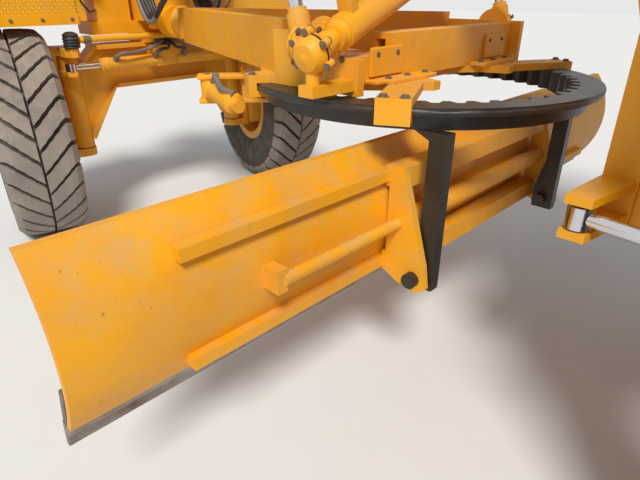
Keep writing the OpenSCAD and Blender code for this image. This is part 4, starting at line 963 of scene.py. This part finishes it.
def dressLiftRod(side, name, look):
    eye, top = mirrored(liftEye, side), mirrored(liftTop, side)
    along = (top - eye).normalized()
    body = f"lift_rod_{name}"
    shell = ballShell(look["shell"], 13) + look["collar"]
    turnedPiece(f"lift_eye_{name}", body, eye, along, shell, 40, "dustyYellow")
    turnedPiece(f"lift_cap_{name}", body, eye, look["capAxis"], look["cap"], 40, "dustyYellow")
    spots = []
    for place in aroundRing(eye, look["capAxis"], look["boltRing"], 4, 0.785):
        spots.append((place - Vector((0.016, 0, 0.004)), (-1, 0, -0.25), look["bolt"]))
    placeBolts(f"lift_cap_bolts_{name}", body, spots)


def dressLiftBarrel(side, name, look):
    # glands at both ends of the barrel, and a rigid pipe along it
    top, eye = mirrored(liftTop, side), mirrored(liftEye, side)
    along = (top - eye).normalized()
    body = f"lift_barrel_{name}"
    low = top - along * look["glandBelow"]
    turnedPiece(f"lift_gland_{name}", body, low, along, look["gland"], 40, "yellowPaint")
    high = top + along * look["headAbove"]
    turnedPiece(f"lift_head_{name}", body, high, along, look["head"], 40, "yellowPaint")
    out = Vector((-along.z, 0, along.x))
    pipe = [low + along * distance + out * height for distance, height in look["pipe"]]
    makeHose(f"lift_pipe_{name}", body, pipe, look["pipeRadius"], "yellowPaint")


for side, sideName in bothSides:
    dressLiftRod(side, sideName, liftLook)
    dressLiftBarrel(side, sideName, liftLook)

shiftLook = {
    "shell": 0.0565, "sides": 44, "screwRing": 0.073, "earRing": 0.069, "glandBack": 0.4, "blockAlong": 0.235,
    "blockUp": 0.072, "hoseRadius": 0.0105,
    "cap": [(-0.05, 0.03), (-0.046, 0.045), (-0.03, 0.058), (-0.012, 0.064), (-0.006, 0.0655), (-0.006, 0.06),
            (0.004, 0.06), (0.004, 0.0655), (0.012, 0.064), (0.03, 0.056), (0.05, 0.036)],
    "seal": [(-0.005, 0.061), (-0.005, 0.0668), (0.003, 0.0668), (0.003, 0.061)],
    "ear": [(0, 0.012), (0.002, 0.0145), (0.032, 0.0145), (0.034, 0.012)],
    "neck": [(0.045, 0.034), (0.05, 0.04), (0.085, 0.04), (0.09, 0.033), (0.12, 0.033), (0.124, 0.046),
             (0.15, 0.046), (0.156, 0.0525), (0.163, 0.0525), (0.165, 0.0588), (0.2, 0.0588),
             (0.204, 0.0572)],
    "gland": [(-0.05, 0.0572), (-0.046, 0.0612), (-0.004, 0.0612), (0.004, 0.05), (0.016, 0.05),
              (0.018, 0.032)],
    "rodCollar": [(0.05, 0.041), (0.075, 0.041), (0.078, 0.034)],
    "hose": [(0, 0), (0.03, 0.01), (0.036, 0.09), (0.022, 0.22), (0.016, 0.36), (0.02, 0.47), (0.006, 0.53),
             (-0.036, 0.55)],
}


def dressShiftCylinder(look):
    along = (shiftTop - shiftEye).normalized()
    sides = look["sides"]
    # two halves of the ball cap with a seal between them, and the screws in their ears
    turnedPiece("shift_cap", "shift_barrel", shiftEye, along, look["cap"], sides, "dustyYellow")
    turnedPiece("shift_cap_seal", "shift_barrel", shiftEye, along, look["seal"], sides, "hoseRubber")
    spots = []
    for place in aroundRing(shiftEye, along, look["screwRing"], 6, 0.5):
        spots.append((place + along * 0.016, along, 0.009))
        spots.append((place - along * 0.016, -along, 0.009))
    placeBolts("shift_cap_bolts", "shift_barrel", spots)
    ears = []
    for place in aroundRing(shiftEye, along, look["earRing"], 6, 0.5):
        ears.append(makeTurned(place - along * 0.017, along, look["ear"], 18))
    finishPiece(joinPieces("shift_cap_ears", ears), "shift_barrel", "dustyYellow")
    turnedPiece("shift_neck", "shift_barrel", shiftEye, along, look["neck"], sides, "yellowPaint")
    end = shiftEye + along * ((shiftTop - shiftEye).length - look["glandBack"])
    turnedPiece("shift_gland", "shift_barrel", end, along, look["gland"], sides, "yellowPaint")
    # port block on the barrel with two hoses that run along to the other end
    side = along.cross(Vector((0, 0, 1))).normalized()
    up = side.cross(along).normalized()
    low = shiftEye + along * look["blockAlong"] + up * look["blockUp"]
    block = makeBlock((-0.03, -0.026, -0.02), (0.03, 0.026, 0.028), 0.005)
    block.matrix_world = Matrix.Translation(low) @ towards(along)
    block.name = "shift_port_block"
    finishPiece(block, "shift_barrel", "dustyYellow")
    for index, offset in enumerate((0.016, -0.016)):
        start = low + side * offset + up * 0.024
        route = [start + up * height + along * distance for height, distance in look["hose"]]
        makeHose(f"shift_hose_{index}", "shift_barrel", route, look["hoseRadius"])
    eyeShell = ballShell(look["shell"], 12) + look["rodCollar"]
    turnedPiece("shift_rod_eye", "shift_rod", shiftTop, -along, eyeShell, 40, "dustyYellow")


dressShiftCylinder(shiftLook)
print("cylinders")

# Rear plate, cross wall and end plates of the drawbar
plateTop = 1.272
wallFace = ballX - 0.125
drawbarLook = {
    "stripX": (0.965, 1.045), "stripYs": ((0.2, 0.5), (-0.5, -0.2)), "stripHeight": 0.016, "stripBolt": 0.01,
    "padBoltYs": (0.37, 0.49), "padBolt": 0.007, "plateBolts": (30, 150, 210, 330), "plateBoltRing": 0.104,
    "plateBolt": 0.009, "socketY": 0.6395, "plateY": 0.64, "cutAbove": 1.44,
    "socket": [(0, 0.088), (0.006, 0.086), (0.008, 0.072), (0.016, 0.07), (0.018, 0.056), (0.026, 0.054),
               (0.028, 0.0182)],
    "shoes": (-118, -60, 60, 118), "shoeRing": 0.782, "shoeAcross": 0.036, "shoeBolt": 0.013,
}


def dressDrawbar(look):
    bolts = []
    x0, x1 = look["stripX"]
    stripTop = plateTop + look["stripHeight"]
    for index, (y0, y1) in enumerate(look["stripYs"]):
        blockPiece(f"wear_strip_{index}", "drawbar", (x0, y0, plateTop - 0.001), (x1, y1, stripTop), 0.004,
                   "dustyYellow")
        for y in (y0 + 0.03, (y0 + y1) / 2, y1 - 0.03):
            bolts.append((((x0 + x1) / 2, y, stripTop), (0, 0, 1), look["stripBolt"]))
    for side, name in bothSides:
        # welded pad with a foot at the end of the wall
        blockPiece(f"wall_pad_{name}", "drawbar", (wallFace - 0.012, side * 0.33, plateTop + 0.02),
                   (wallFace + 0.001, side * 0.53, plateTop + 0.125), 0.005, "dustyYellow")
        blockPiece(f"wall_foot_{name}", "drawbar", (wallFace - 0.06, side * 0.33, plateTop - 0.001),
                   (wallFace + 0.001, side * 0.55, plateTop + 0.014), 0.005, "dustyYellow")
        for y in look["padBoltYs"]:
            bolts.append(((wallFace - 0.012, side * y, plateTop + 0.1), (-1, 0, 0), look["padBolt"]))
        # concentric rings round the lift stud on the end plate, and the plate's bolts where it is wide enough
        turnedPiece(f"lift_socket_{name}", "drawbar", (liftEye.x, side * look["socketY"], liftEye.z),
                    (0, side, 0), look["socket"], 48, "dustyYellow")
        middle = Vector((liftEye.x, side * look["plateY"], liftEye.z))
        for angle in look["plateBolts"]:
            turn = math.radians(angle)
            spot = middle + Vector((math.cos(turn), 0, math.sin(turn))) * look["plateBoltRing"]
            if spot.z < look["cutAbove"]:
                bolts.append((spot, (0, side, 0), look["plateBolt"]))
    placeBolts("drawbar_bolts", "drawbar", bolts)
    for angle in look["shoes"]:
        turn = Matrix.Rotation(math.radians(angle), 4, "Z")
        spots = []
        for across in (-look["shoeAcross"], look["shoeAcross"]):
            place = Vector((ballX, 0, plateTop)) + turn @ Vector((look["shoeRing"], across, 0))
            spots.append((place, (0, 0, 1), look["shoeBolt"]))
        placeBolts(f"shoe_bolts_{angle % 360}", "drawbar", spots)


dressDrawbar(drawbarLook)
print("drawbar")

# Bracket beside the drawbar's front corner, with a pinned barrel and its armoured hose
turnCylinder = {
    "boss": (2.115, 0.535, 1.135), "end": (1.72, 0.64, 1.105), "corner": (1.95, 0.33, 1.2),
    "hoseRadius": 0.014,
    "barrel": [(0.0, 0.03), (0.03, 0.036), (0.05, 0.036), (0.055, 0.046), (0.085, 0.05), (0.09, 0.046),
               (0.3, 0.046), (0.305, 0.051), (0.35, 0.051), (0.36, 0.03)],
    "pin": [(-0.062, 0.034), (-0.058, 0.038), (0.058, 0.038), (0.062, 0.034)], "plates": (1.19, 1.07),
}


def makeTurnCylinder(side, name, look):
    boss, end, corner = (mirrored(look[key], side) for key in ("boss", "end", "corner"))
    along = (end - boss).normalized()
    barrel = look["barrel"] + [((end - boss).length, 0.03)]
    turnedPiece(f"turn_barrel_{name}", "drawbar", boss, along, barrel, 36, "dustyYellow")
    turnedPiece(f"turn_pin_{name}", "drawbar", boss, (0, 0, 1), look["pin"], 32, "dustyYellow")
    arms = [makeBlock((1.9, side * 0.3, 1.2), (2.03, side * 0.36, 1.239), 0.006)]
    reach = boss - corner
    reach.z = 0
    turn = Matrix.Rotation(math.atan2(reach.y, reach.x), 4, "Z")
    for height in look["plates"]:
        plate = makeBlock((-0.06, -0.045, -0.011), (reach.length + 0.05, 0.045, 0.011), 0.005)
        plate.matrix_world = Matrix.Translation((corner.x, corner.y, height)) @ turn
        arms.append(plate)
    web = makeBlock((-0.05, -0.012, 1.06), (0.09, 0.012, 1.239), 0.005)
    web.matrix_world = Matrix.Translation((corner.x, corner.y, 0)) @ turn
    arms.append(web)
    for part in arms:
        applyPlace(part)
    finishPiece(joinPieces(f"turn_bracket_{name}", arms), "drawbar", "dustyYellow")
    up = Vector((0, 0, 1))
    sideways = along.cross(up).normalized() * -side
    start = boss + along * 0.1 + up * 0.045
    route = [start, start + up * 0.03 + along * 0.02, start + up * 0.03 + along * 0.1 - sideways * 0.02,
             start + up * 0.012 + along * 0.19 - sideways * 0.03, start + along * 0.25 - up * 0.006]
    makeHose(f"turn_hose_{name}", "drawbar", route, look["hoseRadius"], "greyHose")
    placeBolts(f"turn_pin_bolt_{name}", "drawbar", [(boss + up * 0.062, (0, 0, 1), 0.014)])


for side, sideName in bothSides:
    makeTurnCylinder(side, sideName, turnCylinder)
print("turn cylinders")


# Operator's seat: crowned cushions with sewn channels, on a pan, bellows and arms
seatLook = {
    "x": -1.41, "floor": 1.391, "width": 0.5, "cushionHeight": 0.11, "crown": 0.022, "channel": 0.007,
    "channels": 3, "cuts": 26, "seamWidth": 0.035, "edgeDrop": 0.022, "bow": 0.03, "fill": 0.6,
}


def makeCushion(name, size, place, tilt, look):
    deselectAll()
    bpy.ops.mesh.primitive_cube_add(size=1)
    cushion = bpy.context.object
    cushion.scale = size
    applyPlace(cushion)
    bpy.ops.object.mode_set(mode="EDIT")
    bpy.ops.mesh.select_all(action="SELECT")
    bpy.ops.mesh.subdivide(number_cuts=look["cuts"])
    bpy.ops.object.mode_set(mode="OBJECT")
    half = [value / 2 for value in size]
    for vertex in cushion.data.vertices:
        # sides bow in between the corners, the top crowns and the seams sink
        u, v, w = (vertex.co[axis] / half[axis] for axis in range(3))
        vertex.co.x = half[0] * u * (1 - look["bow"] * (1 - v * v))
        vertex.co.y = half[1] * v * (1 - look["bow"] * (1 - u * u))
        rounding = max(abs(u), abs(v)) ** 8
        lift = look["crown"] * (1 - u * u) * (1 - v * v) - look["edgeDrop"] * rounding
        if w > 0:
            seam = 0
            for index in range(look["channels"]):
                seat = -0.5 + index * 1.0 / (look["channels"] - 1)
                seam += math.exp(-((v - seat) / look["seamWidth"]) ** 2)
            lift -= look["channel"] * min(1, seam) * (1 - rounding)
        vertex.co.z += lift * w if w > 0 else -0.012 * rounding * w
    modifier = cushion.modifiers.new("smooth", "SUBSURF")
    modifier.levels = 1
    modifier.render_levels = 1
    makeActive(cushion)
    bpy.ops.object.modifier_apply(modifier="smooth")
    cushion.name = name
    cushion.matrix_world = Matrix.Translation(place) @ Matrix.Rotation(math.radians(tilt), 4, "Y")
    applyPlace(cushion)
    for polygon in cushion.data.polygons:
        polygon.use_smooth = True
    finishPiece(cushion, "rear_frame", "seatCloth")
    return cushion


def makeSeat(look):
    x, base, width = look["x"], look["floor"], look["width"]
    cushion = makeCushion("seat_cushion", (0.5, width - 0.02, look["cushionHeight"]),
                          (x + 0.335, 0, base + 0.445), -3, look)
    makeCushion("seat_back", (0.6, width - 0.05, 0.1), (x + 0.075, 0, base + 0.78), 80, look)
    plain = {**look, "channel": 0.0, "cuts": 14, "crown": 0.012}
    makeCushion("seat_headrest", (0.13, 0.26, 0.075), (x + 0.005, 0, base + 1.05), 80, plain)
    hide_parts("seat")
    folds = [(0.0, 0.12), (0.02, 0.15)]
    for fold in range(6):
        folds += [(0.03 + fold * 0.034, 0.158), (0.047 + fold * 0.034, 0.142)]
    folds += [(0.25, 0.12)]
    shell = makeBlock((-0.3, -0.2, -0.012), (0.3, 0.2, 0.012), 0.008)
    tilt = Matrix.Rotation(math.radians(80), 4, "Y")
    shell.matrix_world = Matrix.Translation((x + 0.016, 0, base + 0.79)) @ tilt
    applyPlace(shell)
    parts = [
        makeBlock((x + 0.09, -0.22, base + 0.36), (x + 0.58, 0.22, base + 0.392), 0.008),
        makeBlock((x + 0.12, -0.15, base), (x + 0.45, 0.15, base + 0.06), 0.008),
        makeBlock((x + 0.12, -0.13, base + 0.3), (x + 0.45, 0.13, base + 0.362), 0.008),
        makeTurned((x + 0.285, 0, base + 0.055), (0, 0, 1), folds, 32),
        shell,
    ]
    for side in (1, -1):
        inner, outer = side * 0.262, side * 0.318
        parts.append(makeBlock((x + 0.1, inner, base + 0.64), (x + 0.43, outer, base + 0.69), 0.016))
        parts.append(makeBlock((x + 0.06, side * 0.235, base + 0.5), (x + 0.12, inner, base + 0.68), 0.005))
    finishPiece(joinPieces("seat_frame", parts), "rear_frame", "darkPlastic")


makeSeat(seatLook)
print("seat")

# Cab trim: rubber seals round the door panes, handles, rails, mirrors, work lamps and rear lamps
cabFront = -0.17
cabBack = -1.59
cabLook = {
    "handle": [(-0.055, -0.002, 2.02), (-0.055, 0.035, 2.03), (-0.055, 0.04, 2.12), (-0.055, 0.035, 2.21),
               (-0.055, -0.002, 2.22)],
    "rail": [(-0.03, 0.718, 1.56), (-0.03, 0.76, 1.58), (-0.03, 0.765, 2.0), (-0.03, 0.765, 2.5),
             (-0.03, 0.76, 2.62), (-0.03, 0.718, 2.64)],
    "stay": [(0.0, 0.66, 2.95), (0.1, 0.72, 2.96), (0.16, 0.82, 2.9), (0.16, 0.84, 2.7)],
    "lampShell": [(-0.05, 0.02), (-0.045, 0.045), (0, 0.062), (0.012, 0.062), (0.012, 0.054)],
    "lampLens": [(0.004, 0.052), (0.01, 0.053), (0.016, 0.045), (0.02, 0.02)],
    "rearLens": [(-0.004, 0.034), (0.0, 0.036), (0.0015, 0.036), (0.0018, 0.03), (0.0035, 0.02)],
    "rearLamps": (("stop", "redLens", 0.36), ("turn", "amberLens", 0.44)),
    "sealWidth": 0.022, "sealDepth": 0.006,
}


def makeRail(name, body, points, radius):
    rail = makeTube([Vector(point) for point in points], radius, 8)
    rail.name = name
    return finishPiece(rail, body, "darkPaint")


def makeSeal(name, body, low, high, y, look):
    # a rubber frame round a pane: four strips with rounded edges
    half, depth = look["sealWidth"] * 0.5, look["sealDepth"]
    strips = []
    for first, second in ((0, 2), (2, 0)):
        for edge in (low, high):
            start, end = list(low), list(high)
            start[1], end[1] = y - depth, y + depth
            start[second], end[second] = edge[second] - half, edge[second] + half
            start[first], end[first] = low[first] - half, high[first] + half
            strips.append(makeBlock(start, end, 0.003))
    finishPiece(joinPieces(name, strips), body, "hoseRubber")


def dressCabSide(side, name, look):
    door = f"door_{name}"
    low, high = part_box(f"door_glass_{name}")
    makeSeal(f"door_seal_{name}", door, low, high, (low[1] + high[1]) / 2 + side * 0.012, look)
    low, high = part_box(door)
    face = high[1] if side > 0 else low[1]
    makeRail(f"door_handle_{name}", door, sidePoints(side, (high[0], side * face, 0), look["handle"]), 0.009)
    front = (cabFront, 0, 0)
    makeRail(f"cab_rail_{name}", "rear_frame", sidePoints(side, front, look["rail"]), 0.013)
    makeRail(f"mirror_stay_{name}", "rear_frame", sidePoints(side, front, look["stay"]), 0.01)
    blockPiece(f"mirror_{name}", "rear_frame", (cabFront + 0.14, side * 0.76, 2.42),
               (cabFront + 0.175, side * 0.92, 2.72), 0.014, "darkPlastic")
    blockPiece(f"mirror_glass_{name}", "rear_frame", (cabFront + 0.136, side * 0.772, 2.435),
               (cabFront + 0.142, side * 0.908, 2.705), 0.002, "chromeRod")
    for x, way in ((cabFront + 0.07, 1), (cabBack - 0.03, -1)):
        place, aim = (x, side * 0.5, 3.105), (way, 0, -0.25)
        for kind, steps, finish in (("lamp", "lampShell", "darkPlastic"), ("lens", "lampLens", "clearLens")):
            turnedPiece(f"work_{kind}_{name}_{way + 1}", "rear_frame", place, aim, look[steps], 28, finish)
    low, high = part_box("rear_bumper")
    for lampName, finish, y in look["rearLamps"]:
        place = (low[0] + 0.002, side * y, (low[2] + high[2]) / 2 + 0.02)
        turnedPiece(f"{lampName}_lamp_{name}", "rear_frame", place, (-1, 0, 0), look["rearLens"], 24, finish)


for side, sideName in bothSides:
    dressCabSide(side, sideName, cabLook)
print("cab trim")


# Wheel nuts, the hub cap's screws and the valve, on circles about the axle
wheelLook = {
    "rings": ({"count": 12, "start": 0, "radius": 0.232, "out": 0.054, "size": 0.015},
              {"count": 6, "start": 0.5, "radius": 0.082, "out": 0.155, "size": 0.009}),
    "valveOut": 0.07, "valveUp": 0.268,
    "valve": [(0, 0.011), (0.01, 0.011), (0.012, 0.0055), (0.05, 0.0055), (0.052, 0.007), (0.07, 0.007),
              (0.072, 0.003)],
}


def dressWheel(axle, side, name, look):
    body = f"wheel_{axle}_{name}"
    middle = boxMiddle(f"tyre_{axle}_{name}")
    turn = Matrix.Rotation(math.radians(steerRest if axle == "front" else 0), 4, "Z")
    out = turn @ Vector((0, side, 0))
    spots = []
    for ring in look["rings"]:
        for index in range(ring["count"]):
            angle = math.tau * (index + ring["start"]) / ring["count"]
            around = turn @ Vector((math.cos(angle), 0, math.sin(angle)))
            spots.append((middle + out * ring["out"] + around * ring["radius"], out, ring["size"]))
    placeBolts(f"wheel_nuts_{axle}_{name}", body, spots)
    foot = middle + out * look["valveOut"] + Vector((0, 0, look["valveUp"]))
    turnedPiece(f"valve_{axle}_{name}", body, foot, out, look["valve"], 14, "boltSteel")


for axle in ("front", "middle", "rear"):
    for side, sideName in bothSides:
        dressWheel(axle, side, sideName, wheelLook)
print("wheel nuts")

# Bolts along the cutting edge, and the end bits that lie on the blade's curve
bladeLook = {
    "boltX": 0.991, "boltHeight": 0.548, "length": 3.6, "bolts": 18, "bolt": 0.014, "curveX": 1.2931,
    "curveHeight": 0.805, "curveRadius": 0.415, "bitX": 0.985, "flatBelow": 0.53, "flatShift": 0.012,
}


def dressBlade(look):
    spots = []
    for index in range(look["bolts"]):
        y = -look["length"] / 2 + (index + 0.5) * look["length"] / look["bolts"]
        spots.append(((look["boltX"], y, look["boltHeight"]), (1, 0, 0.12), look["bolt"]))
    placeBolts("edge_bolts", "blade", spots)
    bits = [makeBlock((0.974, side * 1.66, 0.48), (1.004, side * 1.828, 0.70), 0.004) for side in (1, -1)]
    piece = joinPieces("end_bits", bits)
    for vertex in piece.data.vertices:
        height = vertex.co.z - look["curveHeight"]
        curve = look["curveX"] - math.sqrt(max(0.01, look["curveRadius"] ** 2 - height ** 2))
        onCurve = vertex.co.z > look["flatBelow"]
        vertex.co.x += max(-0.06, curve - look["bitX"]) if onCurve else look["flatShift"]
    finishPiece(piece, "blade", "cutSteel")


# Grease that is squeezed out round the circle, swelling and thinning
greaseLook = {
    "radius": 0.742, "thick": 0.013, "height": 1.2325, "outerRadius": 0.766, "outerHeight": 1.222, "waves": 10,
    "mean": 0.75, "swell": 0.35, "least": 0.25,
}


def makeGrease(look):
    deselectAll()
    bpy.ops.mesh.primitive_torus_add(major_segments=180, minor_segments=8, major_radius=look["radius"],
                                     minor_radius=look["thick"], location=(ballX, 0, look["height"]))
    grease = bpy.context.object
    applyPlace(grease)
    lumps = random.Random(7)
    waves = []
    for count in range(look["waves"]):
        waves.append((lumps.randint(5, 60), lumps.uniform(0, math.tau), lumps.uniform(0.1, 0.3)))
    for vertex in grease.data.vertices:
        angle = math.atan2(vertex.co.y, vertex.co.x - ballX)
        ripple = sum(size * math.sin(count * angle + phase) for count, phase, size in waves)
        swell = max(look["least"], look["mean"] + ripple * look["swell"])
        radius = math.hypot(vertex.co.x - ballX, vertex.co.y)
        radius = look["outerRadius"] + (radius - look["radius"]) * swell * 0.5
        vertex.co.x = ballX + math.cos(angle) * radius
        vertex.co.y = math.sin(angle) * radius
        vertex.co.z = look["outerHeight"] + (vertex.co.z - look["height"]) * swell
    grease.name = "ring_grease"
    smoothByAngle(grease, 60)
    finishPiece(grease, "blade_circle", "ringIron")


dressBlade(bladeLook)
makeGrease(greaseLook)
print("blade and circle")

# Head lamps, hood fittings, exhaust bands and filler caps
hoodLook = {
    "rim": [(-0.03, 0.0852), (-0.03, 0.089), (0.0, 0.089), (0.004, 0.085), (0.004, 0.076)],
    "lens": [(0.0, 0.077), (0.003, 0.077), (0.008, 0.06), (0.0105, 0.035), (0.011, 0.01)],
    "cap": [(-0.002, 0.06), (0.012, 0.06), (0.014, 0.05), (0.03, 0.05), (0.036, 0.045), (0.038, 0.01)],
    "band": [(0, 0.0902), (0, 0.094), (0.03, 0.094), (0.03, 0.0902)],
    "handle": [(-0.06, -0.002, 0), (-0.055, 0.028, 0), (0, 0.034, 0), (0.055, 0.028, 0), (0.06, -0.002, 0)],
    "handleHeight": 1.62, "handles": (1.62, 2.1), "bolts": (0.06, 0.7, 1.4), "bolt": 0.01,
    "doors": ((1.32, 1.86), (1.88, 2.4)), "doorHeights": (1.2, 1.86), "bandHeights": (0.1, 0.36),
}


def dressHood(look):
    low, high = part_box("engine_hood")
    bolts = []
    doors = []
    for side, name in bothSides:
        for x in (*(low[0] + along for along in look["bolts"]), high[0] - 0.06):
            bolts.append(((x, side * high[1], low[2] + 0.05), (0, side, 0), look["bolt"]))
        for along in look["handles"]:
            x = low[0] + along
            route = sidePoints(side, (x, high[1], look["handleHeight"]), look["handle"])
            makeRail(f"hood_handle_{name}_{int(x * -100)}", "rear_frame", route, 0.009)
        foot, top = look["doorHeights"]
        for x0, x1 in look["doors"]:
            doors.append(makeBlock((low[0] + x0, side * (high[1] - 0.001), foot),
                                   (low[0] + x1, side * (high[1] + 0.006), top), 0.004))
    placeBolts("hood_bolts", "rear_frame", bolts)
    finishPiece(joinPieces("hood_doors", doors), "rear_frame", "yellowPaint")
    up = (0, 0, 1)
    turnedPiece("coolant_cap", "rear_frame", (low[0] + 0.35, 0, high[2]), up, look["cap"], 32, "darkPaint")
    for height in look["bandHeights"]:
        turnedPiece(f"muffler_band_{int(height * 100)}", "rear_frame", (-2.75, -0.18, high[2] + height), up,
                    look["band"], 40, "boltSteel")
    fill = boxMiddle("fuel_tank")
    fill.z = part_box("fuel_tank")[1][2]
    turnedPiece("fuel_cap", "rear_frame", fill, up, look["cap"], 28, "darkPaint")


def dressHeadLamps(look):
    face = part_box("head_lamps")[1][0]
    for side, name in bothSides:
        place = (face, side * 0.16, 2.35)
        turnedPiece(f"lamp_rim_{name}", "front_frame", place, (1, 0, 0), look["rim"], 40, "darkPaint")
        turnedPiece(f"lamp_lens_{name}", "front_frame", place, (1, 0, 0), look["lens"], 40, "clearLens")


dressHeadLamps(hoodLook)
dressHood(hoodLook)
print("hood, lamps and tank")
